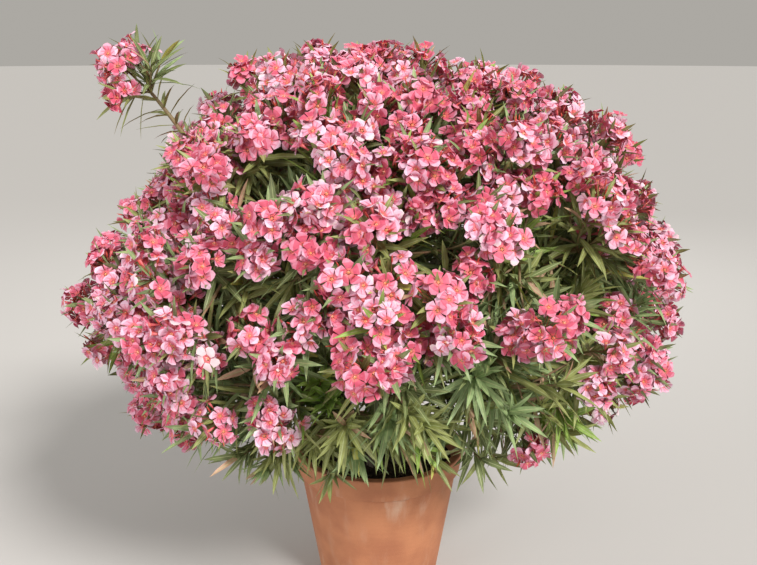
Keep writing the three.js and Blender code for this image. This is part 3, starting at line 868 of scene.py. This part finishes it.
def leaves_on(curves, first, last, count, seed, openings, tint_of):
    """Whorls of leaves on curves: the points of each leaf, and its tint."""
    place, way, at, number, step = whorls(curves, first, last, count, seed)
    leaf = np.arange(LEAVES_IN_WHORL)
    draw = (number * 16 + step)[:, None] * LEAVES_IN_WHORL + leaf
    bearing = (leaf + 0.5 * (step % 2)[:, None]) / LEAVES_IN_WHORL * FULL_TURN
    bearing = bearing + FULL_TURN * chance(number, seed + 1)[:, None]
    bearing = bearing + BEARING_JITTER * (chance(draw, seed + 2) - 0.5)
    opening = openings[0] + (openings[1] - openings[0]) * at[:, None]
    opening = vary(np.radians(opening), OPENING_VARIES, draw, seed + 3)
    stem_way = np.repeat(way, LEAVES_IN_WHORL, axis=0)
    roots = np.repeat(place, LEAVES_IN_WHORL, axis=0)
    ways = lean(stem_way, opening.ravel(), bearing.ravel())
    draw, old = draw.ravel(), np.repeat(1 - at, LEAVES_IN_WHORL)
    lengths = vary(LEAF_LENGTH, LENGTH_VARIES, draw, seed + 4) * (1 - SHORTER_AT_TIP * (1 - old) ** 3)
    widths = vary(LEAF_WIDTH, WIDTH_VARIES, draw, seed + 5)
    arch = LEAST_ARCH + ARCH_SPAN * chance(draw, seed + 6)
    sag = (YOUNG_SAG + OLD_SAG * old) * chance(draw, seed + 7)
    points = leaf_points(roots, ways, stem_way, lengths, widths, arch, sag)
    return points, tint_of(np.repeat(number, LEAVES_IN_WHORL), draw)


# %% [markdown]
# ### Room and tints
#
# A leaf that would reach out of the crown, down to the pot's rim or into a limb is left out
# whole. The tints go by shoot, because the leaves of one shoot are of one age.

# %% Leaves that stay clear
LOWEST_LEAF = 432 * MM
LEAF_REACH = 1.05
LIMB_RADIUS, LIMB_CLEARANCE = 8 * MM, 7 * MM


def near_limb(spots):
    """Whether spots lie within the clearance of a sampled place on a limb."""
    flat = spots.reshape(-1, 3)
    near = np.zeros(len(flat), bool)
    for place in limb_places:
        near |= np.sum((flat - place) ** 2, axis=1) < (LIMB_CLEARANCE + LIMB_RADIUS) ** 2
    return near.reshape(spots.shape[:-1])


def keeps_clear(points):
    """Whether each leaf's middle and tip stay in the crown, above the pot and off the limbs."""
    spots = points.reshape(len(points), len(LEAF_ROWS), len(LEAF_COLUMNS), 3)[:, 2:, 1]
    above_pot = np.all(spots[..., 2] > LOWEST_LEAF, axis=1)
    in_crown = np.all(crown_share(spots) < LEAF_REACH, axis=1)
    return above_pot & in_crown & ~np.any(near_limb(spots), axis=1)


# %% Tints by shoot
# Up to these draws a shoot is grey-green, olive and deep green, and above them fresh green
SHOOT_STEPS = (0.42, 0.76, 0.92)

# A leaf whose own draw is under the first is dry, and one under the second is the other tint
ODD_DRY, ODD_YELLOW = 0.055, 0.07
SHADE_DRY, SHADE_OLIVE = 0.08, 0.4


def shoot_tint(number, draw):
    """Tints dealt by shoot, mostly grey-green and olive, and now and then one odd leaf."""
    by_shoot = np.searchsorted(SHOOT_STEPS, chance(number, 91))
    odd = chance(draw, 92)
    return np.where(odd < ODD_DRY, DRY, np.where(odd < ODD_YELLOW, YELLOW, by_shoot))


def shade_tint(number, draw):
    """Old leaves inside the crown are deep green or olive, with a few dry ones. Their dark tints are
    also painted shade for the inside of the crown.
    """
    odd = chance(draw, 93)
    return np.where(odd < SHADE_DRY, DRY, np.where(odd < SHADE_OLIVE, OLIVE, DEEP))


# %% Leaves on every shoot
# Each set: curves, first and last whorl along them, whorls, seed, opening at foot and tip, tints
crown_sets = [
    leaves_on(shoots[blooms & ~is_stray], 0.12, 0.97, 6, 100, (68, 32), shoot_tint),
    leaves_on(shoots[~blooms & ~is_stray], 0.12, 0.98, 8, 120, (66, 24), shoot_tint),
    leaves_on(inner_shoots, 0.3, 1.0, 5, 140, (70, 45), shade_tint),
]
stray_sets = [
    leaves_on(shoots[is_stray], 0.2, 0.95, 4, 150, (60, 30), shoot_tint),
    leaves_on(stray_stem, 0.1, 0.95, 6, 160, (62, 50), shoot_tint),
]
crown_xyz, crown_tint = (np.concatenate(rows) for rows in zip(*crown_sets))
keep = keeps_clear(crown_xyz)
stray_xyz, stray_tint = (np.concatenate(rows) for rows in zip(*stray_sets))
leaf_xyz = np.concatenate([crown_xyz[keep], stray_xyz])
leaf_tint = np.concatenate([crown_tint[keep], stray_tint])
print(len(leaf_xyz), "leaves, and", int((~keep).sum()), "left out")

# %% Two pieces of leaves
strip = (np.arange(len(leaf_faces)) // 2) % (len(LEAF_COLUMNS) - 1)


def by_side(name, points, faces, finish, materials):
    """The left and right halves of the crown as two pieces, so that each stays light."""
    is_left = points[:, 0, 0] < CROWN_CENTRE[0]
    finish = np.broadcast_to(finish, (len(points), len(faces)))
    for half, chosen in (("left", is_left), ("right", ~is_left)):
        part = spread(points[chosen], faces, finish[chosen])
        make_piece(f"{name}_{half}", [part], materials, FOLIAGE_NODES)


leaf_finish = np.where(strip == 1, RIB, leaf_tint[:, None])
by_side("leaves", leaf_xyz, leaf_faces, leaf_finish, [*leaf_finishes, rib_finish])

# %% [markdown]
# ## Flower heads
#
# A head is a loose dome of flowers, each on a stalk from the shoot's tip, with slender buds
# between them. Flowers open at different times, so some are flat and some still cupped.
# First every head's flowers get a place and an axis, then one formula makes all petals.

# %% Places of flowers and buds in every head
FLOWERS_IN_HEAD = 16
BUDS_IN_HEAD = 6
HEAD_RADIUS = 42 * MM
FEWEST_OPEN, MOST_OPEN = 0.64, 0.94
TOWARDS_AXIS, TOWARDS_SKY, FLOWER_TILT = 0.2, 0.15, 1.35
LOWEST_FLOWER = LOWEST_LEAF + 15 * MM
STRAY_FACING = unit(np.array([-0.5, -0.7, 0.4]))

head_shoot = np.flatnonzero(blooms)
head_base = shoots[blooms][:, 3]
head_axis = tip_facing[blooms]
head_count = len(head_base)
head_size = vary(1.0, 0.24, head_shoot, 201)
head_fullness = FEWEST_OPEN + (MOST_OPEN - FEWEST_OPEN) * chance(head_shoot, 202)
head_axis[-len(STRAY_HEADS):] = STRAY_FACING


def dome(count, seed, widest, share, varies, lift=0.0, sizes=head_size[:, None]):
    """Places over each head, the ways out to them, and their heads and draws.

    The ways lie on a golden spiral about the head's axis, out to the widest angle. A place is
    the shoot's tip + lift times the axis + way times the head's radius, its size and a share.
    """
    head, i = np.meshgrid(np.arange(head_count), np.arange(count), indexing="ij")
    draw = head_shoot[head] * count + i
    spread_angle = widest * np.sqrt((i + 0.5) / count) * vary(1.0, 0.12, draw, seed)
    turn = i * GOLDEN_ANGLE + FULL_TURN * chance(head_shoot[head], seed + 1)
    turn = turn + 0.5 * chance(draw, seed + 2)
    way = lean(head_axis[:, None], spread_angle, turn)
    reach = HEAD_RADIUS * sizes * vary(share, varies, draw, seed + 3)
    return (head_base + head_axis * lift)[:, None] + way * reach[..., None], way, head, draw


flower_dome = dome(FLOWERS_IN_HEAD, 210, widest=1.65, share=1.0, varies=0.17, lift=10 * MM)
mouths, flower_way, flower_head, flower_draw = flower_dome
tilt = np.stack([chance(flower_draw, 214 + axis) - 0.5 for axis in range(3)], axis=-1)
drawn = head_axis[:, None] * TOWARDS_AXIS + UP * TOWARDS_SKY
flower_axis = unit(flower_way + drawn + tilt * FLOWER_TILT)
is_open = (chance(flower_draw, 217) < head_fullness[:, None]) & (mouths[..., 2] > LOWEST_FLOWER)
print(head_count, "heads with", int(is_open.sum()), "open flowers")

# %% [markdown]
# ### A flower
#
# Five petals stand on the mouth of a narrow tube. A petal is a surface of two parameters: v
# out from the throat, and u across. Its outline is narrow at the throat, widest past the
# middle and rounded at the end, and it leans sideways, as all petals of this flower do, like
# the vanes of a pinwheel. A cupped flower bends the same petals up towards its axis. One
# flower on the near side is fully open and nearly white, as on the real plant.

# %% The petal surface
PETALS = 5
PETAL_V = np.array([0.0, 0.18, 0.66, 1.0])
PETAL_HALF_WIDTHS = np.array([2.5, 5.0, 10.3, 6.4]) * MM
PETAL_U = np.array([-1.0, 0.0, 1.0])
THROAT_RADIUS = 3.6 * MM
PETAL_LENGTH = 21.5 * MM
PINWHEEL = 3.4 * MM
ROUNDED_END = 3 * MM
ARCH_HEIGHT, ARCH_DROP = 3.4 * MM, 2.6 * MM
EDGE_TWIST, EDGE_RISE = 1.3 * MM, 0.9 * MM
CUP_HEIGHT, CURL_HEIGHT = 12 * MM, 4 * MM


def petal_points(openness, curl):
    """How far out, across and up each point lies, for petals of each openness and curl.

    Out is throat + length v, less at the corners and where the petal cups. Across is u times
    half the width at v, leaning aside with v squared. Up is an arch along v, higher at the
    edges, plus the cup times v and the curl times v squared.
    """
    v = PETAL_V[:, None]
    u = PETAL_U[None, :]
    cup, curl = (1 - openness)[..., None, None], curl[..., None, None]
    out = THROAT_RADIUS + PETAL_LENGTH * v * (1 - 0.3 * cup * v) - ROUNDED_END * u * u * v**3
    across = PETAL_HALF_WIDTHS[:, None] * u * (1 - 0.12 * cup) + PINWHEEL * v * v
    arch = ARCH_HEIGHT * np.sin(np.pi * 0.8 * v) - ARCH_DROP * v**3
    edge = (EDGE_TWIST * u + EDGE_RISE * u * u) * v
    height = arch + edge + cup * CUP_HEIGHT * v + curl * CURL_HEIGHT * v * v
    return np.stack(np.broadcast_arrays(out, across, height), axis=-1)


def on_axes(mouth, axis, roll, shape):
    """Turns each petal's shape about its flower's axis, and carries it to the flower's mouth."""
    side, other = basis(axis)
    angle = (roll[:, None] + np.arange(PETALS) / PETALS * FULL_TURN)[:, :, None, None]
    out, across, height = shape[..., 0], shape[..., 1], shape[..., 2]
    x = out * np.cos(angle) - across * np.sin(angle)
    y = out * np.sin(angle) + across * np.cos(angle)
    local = np.stack([x, y, np.broadcast_to(height, x.shape)], axis=-1)
    axes = np.stack([side, other, axis], axis=1)
    return mouth[:, None] + local.reshape(len(mouth), -1, 3) @ axes


petal_grid = grid_faces(len(PETAL_V), len(PETAL_U))
print("a petal has", len(petal_grid), "triangles")

# %% Petals of the open flowers
WHITE_WAY = polar(np.radians([-114]), np.radians([-2]))

flower_mouth = mouths[is_open]
flower_way_up = flower_axis[is_open]
flower_number = flower_draw[is_open]
white_place = crown_point(WHITE_WAY, np.ones(1))[0]
white = np.argmin(np.linalg.norm(flower_mouth - white_place, axis=1))
flower_mouth[white] = white_place
flower_way_up[white] = WHITE_WAY[0]

# Openness is 1.15 - 1.25 draw^1.7, kept from 0 to 1, so most flowers are flat and a few cupped
openness = np.clip(1.15 - 1.25 * chance(flower_number, 220) ** 1.7, 0, 1)
openness[white] = 1
petal_number = flower_number[:, None] * PETALS + np.arange(PETALS)
roll = FULL_TURN * chance(flower_number, 221)
size = vary(1.08, 0.13, flower_number, 222)[:, None, None, None, None]
petal_openness = openness[:, None] + 0.16 * (chance(petal_number, 225) - 0.5)
petal_shape = size * petal_points(petal_openness, 2 * chance(petal_number, 226) - 1)
petals = on_axes(flower_mouth, flower_way_up, roll, petal_shape)
print(len(petals), "flowers, and the white one at", np.round(white_place, 2))

# %% Tints by head, by flower and a little by petal
TINT_STEPS = (0.38, 0.57, 0.75, 0.98)
BY_HEAD, BY_FLOWER, BY_PETAL = 0.3, 0.45, 0.25

per_petal = len(PETAL_V) * len(PETAL_U)
petal_faces = np.concatenate([petal_grid + per_petal * p for p in range(PETALS)])

# Each petal has its heart in row 0, its tint and a deeper streak in row 1, and a paler end. The
# deeper streak is partly the petal's own colour and partly painted shade between the petals, and
# the paler end is partly its own colour and partly a painted highlight.
row = np.tile(np.arange(len(petal_grid)) // (2 * (len(PETAL_U) - 1)), PETALS)
streak_and_painted_shade = (row == 1) & np.tile(np.arange(len(petal_grid)) % 2 == 0, PETALS)
head_mood = BY_HEAD * chance(head_shoot[flower_head[is_open]], 223)
mood = head_mood + BY_FLOWER * chance(flower_number, 224)
tint = np.searchsorted(TINT_STEPS, mood[:, None] + BY_PETAL * chance(petal_number, 227))
tint = np.repeat(tint, len(petal_grid), axis=1)
petal_finish = np.where(streak_and_painted_shade, np.maximum(tint - 1, 0), tint)
# The paler end: partly the petal's own colour, partly a painted highlight
petal_finish = np.where(row == 2, np.minimum(tint + 1, HEART - 1), petal_finish)
petal_finish[white] = HEART - 1
petal_finish = np.where(row == 0, HEART, petal_finish)
by_side("petals", petals, petal_faces, petal_finish, [*petal_finishes, heart_finish])

# %% [markdown]
# ### Tubes and throats
#
# Behind its petals a flower narrows to a tube, orange-yellow at the mouth, and a torn fringe
# stands round it. At a few millimetres a tube of four sides and five small teeth are enough.

# %% Tubes, throats and fringes
TUBE_LENGTH = 19 * MM
TUBE_RADII = np.array([1.6, 4.2]) * MM
TUBE_SIDES = 4
FRINGE_TURN = 0.6

tube_places = (flower_mouth - flower_way_up * below for below in (TUBE_LENGTH, 8 * MM, 0.6 * MM))
tube_curves = quadratic(*tube_places)
tube_radii = np.tile(TUBE_RADII, (len(tube_curves), 1))

# The wall and the foot are as deep as a petal's heart, and the cap at the mouth is the throat
tube_finish = np.where(np.arange(4 * TUBE_SIDES) < 3 * TUBE_SIDES, 0, 1)
tube_part = tubes(tube_curves, tube_radii, TUBE_SIDES, finish=tube_finish)

fringe_shape = np.array([[1.2, 0.0, 4.2], [3.0, -1.2, 0.4], [3.6, 1.2, 0.4]]) * MM
fringe = on_axes(flower_mouth, flower_way_up, roll + FRINGE_TURN, fringe_shape[None, None, None])
fringe_faces = np.arange(3 * PETALS).reshape(PETALS, 3)
fringe_part = spread(fringe, fringe_faces, 2)
throat_finishes = [heart_finish, throat_finish, fringe_finish]
make_piece("throats", [tube_part, fringe_part], throat_finishes, FOLIAGE_NODES)

# %% [markdown]
# ### Buds and stalks
#
# A bud is a slim spindle with a slight bend, coral red, about 20 mm long. Stalks tie every
# flower and bud to the tip of its shoot.

# %% Buds and stalks
BUD_LENGTH = 21 * MM
BARE_STALKS = 3
BUD_RADII = np.array([1.2, 2.6, 1.9, 0.4]) * MM
BUD_BEND, BUD_UPTURN = 1.5 * MM, 0.3
STALK_RISE = 14 * MM

bud_dome = dome(BUDS_IN_HEAD, 230, widest=1.15, share=0.72, varies=0.3, lift=8 * MM)
bud_foot, bud_way, bud_head, bud_draw = bud_dome
bud_foot = bud_foot.reshape(-1, 3)
bud_way = unit(bud_way + UP * BUD_UPTURN).reshape(-1, 3)
bud_long = vary(BUD_LENGTH, 0.3, bud_draw.ravel(), 234)[:, None]
bud_middle = bud_foot + bud_way * bud_long * 0.5 + basis(bud_way)[0] * BUD_BEND
bud_curves = quadratic(bud_foot, bud_middle, bud_foot + bud_way * bud_long)
bud_part = tubes(bud_curves, np.broadcast_to(BUD_RADII, (len(bud_foot), len(BUD_RADII))), 3)

bare_ends, _, bare_head, _ = dome(BARE_STALKS, 240, widest=1.3, share=0.95, varies=0.35, sizes=1)
tube_ends = flower_mouth - flower_way_up * TUBE_LENGTH * 0.95
stalk_ends = np.concatenate([tube_ends, bud_foot, bare_ends.reshape(-1, 3)])
stalk_heads = np.concatenate([flower_head[is_open], bud_head.ravel(), bare_head.ravel()])
stalk_start = head_base[stalk_heads]
stalks = quadratic(stalk_start, stalk_start + head_axis[stalk_heads] * STALK_RISE, stalk_ends)
stalk_part = tubes(stalks, taper(stalks, 1.1 * MM, 1.2 * MM, 2), 3)
make_piece("buds", [bud_part], [bud_finish], FOLIAGE_NODES)
make_piece("flower_stalks", [stalk_part], [stalk_finish], FOLIAGE_NODES)

# %% [markdown]
# ## The pot
#
# The pot is thrown clay: a profile turned round its axis. Its walls carry faint rings from
# the wheel, and its lip and foot are rounded. The profile has eight corners, which short arcs
# round off. It is walked in short steps, so that a small wave of the radius makes the rings.

# %% Terracotta finish
def terracotta():
    """Fired clay: warm mottling, fine grit, and pale lime where damp has dried."""
    finish = Finish("terracotta", (0.52, 0.215, 0.105), 0.86)
    clouds = finish.noise(9, 5).between(0.3, 0.7)
    grit = finish.noise(520, 3)
    streaks = finish.noise(26, 5, (1, 1, 0.22)).between(0.52, 0.78)
    height = finish.node("ShaderNodeSeparateXYZ", {}, {0: finish.place()}, "Z")

    # Lime shows at the foot, and in a belt under the band, at these heights in metres
    below_band = height.between(0.24, 0.335) * (1 - height.between(0.34, 0.37))
    damp = 1 - height.between(0.01, 0.16) + below_band
    lime = (damp * 0.6 + 0.14) * streaks
    colour = finish.mix(clouds, (0.56, 0.235, 0.115), (0.42, 0.16, 0.08))
    colour = finish.mix(grit.between(0.62, 0.75) * 0.5, colour, (0.3, 0.12, 0.07))
    finish.put("Base Color", finish.mix(lime, colour, (0.66, 0.5, 0.39)))
    finish.put("Roughness", 0.78 + lime * 0.18)
    finish.bump(grit * 0.6 + clouds * 0.4 + lime * 0.4, 0.7 * MM)
    return finish.material


clay = terracotta()
print("clay:", len(clay.node_tree.nodes), "nodes")

# %% The pot's profile
POT_HEIGHT, POT_FOOT, POT_LIP = 400 * MM, 165 * MM, 240 * MM
POT_WALL, POT_FLOOR = 15 * MM, 20 * MM
BAND_HEIGHT, BAND_PROUD = 64 * MM, 9 * MM
SLOPE = (POT_LIP - BAND_PROUD - POT_FOOT) / POT_HEIGHT


def round_corners(corners, radii, steps=6):
    """Each corner of a profile becomes a short Bezier arc between points a radius away."""
    path = []
    for before, corner, after, radius in zip(corners, corners[1:], corners[2:], radii):
        one = corner + unit(before - corner) * radius
        two = corner + unit(after - corner) * radius
        t = np.linspace(0, 1, steps)[:, None]
        path.append((1 - t) ** 2 * one + 2 * t * (1 - t) * corner + t * t * two)
    return np.vstack([corners[:1], *path, corners[-1:]])


def resample(profile, step):
    """Points about a step apart along a profile, its own points kept."""
    pieces = []
    for a, b in zip(profile, profile[1:]):
        parts = max(1, round(float(np.linalg.norm(b - a)) / step))
        pieces.append(a + (b - a) * np.arange(parts)[:, None] / parts)
    return np.vstack([*pieces, profile[-1:]])


def outer(height):
    """The wall's outer radius at a height."""
    return POT_FOOT + SLOPE * height


band_foot = POT_HEIGHT - BAND_HEIGHT
pot_corners = np.array([
    [0.0, 0.0],
    [POT_FOOT, 0.0],
    [outer(band_foot), band_foot],
    [outer(band_foot) + BAND_PROUD, band_foot + 1 * MM],
    [POT_LIP, POT_HEIGHT],
    [outer(POT_HEIGHT) - POT_WALL, POT_HEIGHT],
    [outer(POT_FLOOR) - POT_WALL, POT_FLOOR],
    [0.0, POT_FLOOR],
])
corner_radii = np.array([4.5, 3, 3.5, 6, 5.5, 14]) * MM
profile = resample(round_corners(pot_corners, corner_radii), 4.5 * MM)
print(len(profile), "points in the pot's profile")

# %% Pot
POT_SIDES = 96
RING_DEPTH, RING_SPACING, WOBBLE = 0.0011, 14 * MM, 0.0025


def revolve(profile, sides, ripple):
    """P(i, a) = (r cos a, r sin a, z), with the radius of each point multiplied by 1 + ripple."""
    angle = np.arange(sides) / sides * FULL_TURN
    height = profile[1:-1, 1:]
    radius = profile[1:-1, :1] * (1 + ripple(height, angle[None]))
    height = np.broadcast_to(height, radius.shape)
    walls = np.stack([radius * np.cos(angle), radius * np.sin(angle), height], axis=-1)
    poles = np.array([[0, 0, profile[0, 1]], [0, 0, profile[-1, 1]]])
    points = np.concatenate([walls.reshape(-1, 3), poles])[None]
    return spread(points, tube_faces(len(profile) - 2, sides))


def throwing(height, angle):
    """Rings from the wheel that wind slowly up the wall, and a slight lean of the whole."""
    rings = RING_DEPTH * np.sin(height / RING_SPACING * FULL_TURN + angle)
    wobble = WOBBLE * np.sin(2 * angle + 0.7) * height / POT_HEIGHT
    return rings + wobble


pot_part = revolve(profile, POT_SIDES, throwing)
make_piece("pot_clay", [pot_part], [clay], ["pot"])

# %% [markdown]
# ## The soil
#
# The soil is dished, crumbly and dark. One surface carries waves of several sizes, and loose
# crumbs, bits of bark and a few pale grains lie on it.

# %% Soil finish
def soil_finish():
    """Dark moist soil with paler crumbs."""
    finish = Finish("soil", (0.035, 0.022, 0.014), 0.95)
    coarse = finish.noise(90, 6).between(0.3, 0.7)
    fine = finish.noise(600, 3)
    colour = finish.mix(coarse, (0.022, 0.014, 0.009), (0.07, 0.045, 0.028))
    finish.put("Base Color", finish.mix(fine.between(0.62, 0.8) * 0.6, colour, (0.14, 0.1, 0.065)))
    finish.bump(coarse * 0.7 + fine * 0.3, 3 * MM)
    return finish.material


soil = soil_finish()
print("soil:", len(soil.node_tree.nodes), "nodes")

# %% Soil surface
SOIL_EDGE_HEIGHT, SOIL_UNDERSIDE = 354 * MM, 325 * MM
SOIL_RADIUS = outer(SOIL_EDGE_HEIGHT) - POT_WALL - 0.6 * MM
SOIL_FLAT_RADIUS, SOIL_DISH = 124 * MM, 8 * MM
SOIL_RINGS, SOIL_SIDES = 56, 150
UNDER_SHARE = 0.985


def soil_top(x, y):
    """The soil's height: flat in the middle, dished at the wall, with waves of three sizes."""
    radius = np.hypot(x, y)
    dish = SOIL_DISH * np.clip((radius - SOIL_FLAT_RADIUS) / (SOIL_RADIUS - SOIL_FLAT_RADIUS), 0, 1)
    waves = 1.6 * np.sin(x * 47 + 2 * np.sin(y * 31)) * np.sin(y * 53 + 1)
    waves = waves + 0.9 * np.sin(x * 131 + 1.7 * np.sin(y * 97)) * np.sin(y * 149 + 2 * np.sin(x * 83))
    waves = waves + 0.6 * np.sin(x * 331 + y * 87) * np.sin(y * 293 - x * 119)
    return SOIL_HEIGHT - dish + (waves - 1.2) * MM * 0.8


ring = np.linspace(0, 1, SOIL_RINGS + 1)[1:, None] * SOIL_RADIUS
turn = np.arange(SOIL_SIDES)[None] / SOIL_SIDES * FULL_TURN
soil_x, soil_y = ring * np.cos(turn), ring * np.sin(turn)
top = np.stack([soil_x, soil_y, soil_top(soil_x, soil_y)], axis=-1)
under = top[-1:] * np.array([UNDER_SHARE, UNDER_SHARE, 0]) + UP * SOIL_UNDERSIDE
soil_walls = np.concatenate([top, under]).reshape(-1, 3)
soil_poles = np.array([[0, 0, float(soil_top(0.0, 0.0))], [0, 0, SOIL_UNDERSIDE]])
soil_faces = tube_faces(SOIL_RINGS + 1, SOIL_SIDES)[:, ::-1]
soil_part = spread(np.concatenate([soil_walls, soil_poles])[None], soil_faces)
print("the soil is", np.round(2 * SOIL_RADIUS, 3), "m across")

# %% Crumbs on the soil
# The corners of a ball of twenty sides. Each three that are all neighbours make a face, and
# every face is turned outward.
ICO = np.array([(0, 1, 1.618), (0, -1, 1.618), (0, 1, -1.618), (0, -1, -1.618),
                (1, 1.618, 0), (-1, 1.618, 0), (1, -1.618, 0), (-1, -1.618, 0),
                (1.618, 0, 1), (-1.618, 0, 1), (1.618, 0, -1), (-1.618, 0, -1)]) / 1.902
beside = np.linalg.norm(ICO[:, None] - ICO, axis=-1) < 1.1
threes = np.array(list(itertools.combinations(range(len(ICO)), 3)))
a, b, c = threes.T
ICO_FACES = threes[beside[a, b] & beside[b, c] & beside[a, c]]
corner, second, third = ICO[ICO_FACES.T]
inward = dot(np.cross(second - corner, third - corner), corner)[:, 0] < 0
ICO_FACES[inward] = ICO_FACES[inward][:, ::-1]
CRUMB_MARGIN = 6 * MM
SQUASH = np.array([1.0, 1.0, 0.7])


def crumbs(count, smallest, largest, seed, finish):
    """Lumps strewn evenly over the disc, each a twenty-sided ball with uneven corners."""
    i = np.arange(count)
    radius = (SOIL_RADIUS - CRUMB_MARGIN) * np.sqrt(chance(i, seed))
    angle = FULL_TURN * chance(i, seed + 1)
    x, y = radius * np.cos(angle), radius * np.sin(angle)
    size = smallest + (largest - smallest) * chance(i, seed + 2) ** 3
    centre = np.stack([x, y, soil_top(x, y) + 0.25 * size], axis=-1)
    uneven = 0.65 + 0.6 * chance(i[:, None] * len(ICO) + np.arange(len(ICO)), seed + 3)
    points = centre[:, None] + ICO * (uneven * size[:, None])[..., None] * SQUASH
    return spread(points, ICO_FACES, finish)


crumb_dark = mottled("crumb_dark", (0.05, 0.032, 0.02), (0.025, 0.016, 0.01), 0.95, scale=300)
crumb_bark = mottled("crumb_bark", (0.13, 0.07, 0.035), (0.07, 0.04, 0.02), 0.9, scale=300)
crumb_pale = mottled("crumb_pale", (0.6, 0.56, 0.5), (0.45, 0.41, 0.35), 0.9, scale=300)

# Crumbs: how many, smallest and largest, seed and finish
soil_parts = [
    soil_part,
    crumbs(900, 1.6 * MM, 6 * MM, 300, 1),
    crumbs(90, 3 * MM, 9 * MM, 310, 2),
    crumbs(70, 1.2 * MM, 2.8 * MM, 320, 3),
]
soil_finishes = [soil, crumb_dark, crumb_bark, crumb_pale]
make_piece("soil_surface", soil_parts, soil_finishes, ["potting_soil"])

# %% [markdown]
# ## Floor, light and camera
#
# A plain pale floor and soft lamps show the plant without hiding anything. The sun's wide
# angle softens its shadows. The camera stands in front, level with the crown's top, and looks
# a little down.

# %% Floor
FLOOR_RADIUS, FLOOR_SIDES = 60.0, 48

i = np.arange(FLOOR_SIDES)
floor_rim = polar(i / FLOOR_SIDES * FULL_TURN, 0.0) * FLOOR_RADIUS
floor_points = np.vstack([0 * UP, floor_rim])
floor_faces = np.stack([0 * i, 1 + i, 1 + (i + 1) % FLOOR_SIDES], axis=-1)
floor_mesh = bpy.data.meshes.new("floor")
floor_mesh.from_pydata(floor_points.tolist(), [], floor_faces.tolist())
floor_mesh.materials.append(Finish("floor", (0.52, 0.515, 0.505), 0.9).material)
floor = bpy.data.objects.new("floor", floor_mesh)
bpy.context.scene.collection.objects.link(floor)
print("the floor is", 2 * FLOOR_RADIUS, "m across")

# %% Lamps and sky
def turned_to(way):
    """The rotation that points a lamp's or camera's -Z axis along way, with its Y axis upward."""
    return Vector(way).to_track_quat("-Z", "Y").to_euler()


def lamp(name, kind, place, power, colour, **settings):
    """A lamp at place, turned to face the middle of the crown."""
    light = bpy.data.lights.new(name, kind)
    light.energy, light.color = power, colour
    for key, value in settings.items():
        setattr(light, key, value)
    made = bpy.data.objects.new(name, light)
    made.location = place
    made.rotation_euler = turned_to(CROWN_CENTRE - np.array(place))
    bpy.context.scene.collection.objects.link(made)


lamp("key", "SUN", (2.3, -3.0, 4.1), 3.35, (1.0, 0.96, 0.92), angle=math.radians(16))
lamp("fill", "AREA", (-3.7, -3.5, 2.4), 92, (1.0, 0.96, 0.95), size=2.6)
lamp("back", "AREA", (0.5, 3.8, 3.4), 60, (1.0, 0.98, 0.95), size=2.6)

world = bpy.data.worlds.new("studio")
bpy.context.scene.world = world
world.use_nodes = True
sky = world.node_tree.nodes["Background"]
sky.inputs["Color"].default_value = (0.98, 0.94, 0.87, 1)
sky.inputs["Strength"].default_value = 0.42
bpy.context.scene.view_settings.view_transform = "Standard"
print("lamps:", [light.name for light in bpy.data.lights])

# %% Camera
FRAME_WIDTH_PX, FOCAL_PX = 757, 900
CAMERA_DISTANCE, CAMERA_HEIGHT = 2.35, 1.5
DEGREES_DOWN = 15

camera_data = bpy.data.cameras.new("camera")
camera_data.sensor_width = 36
camera_data.lens = camera_data.sensor_width * FOCAL_PX / FRAME_WIDTH_PX
camera = bpy.data.objects.new("camera", camera_data)
camera.location = (0, -CAMERA_DISTANCE, CAMERA_HEIGHT)
camera.rotation_euler = (math.radians(90 - DEGREES_DOWN), 0, 0)
bpy.context.scene.collection.objects.link(camera)
bpy.context.scene.camera = camera
print("lens:", round(camera_data.lens, 1), "mm")
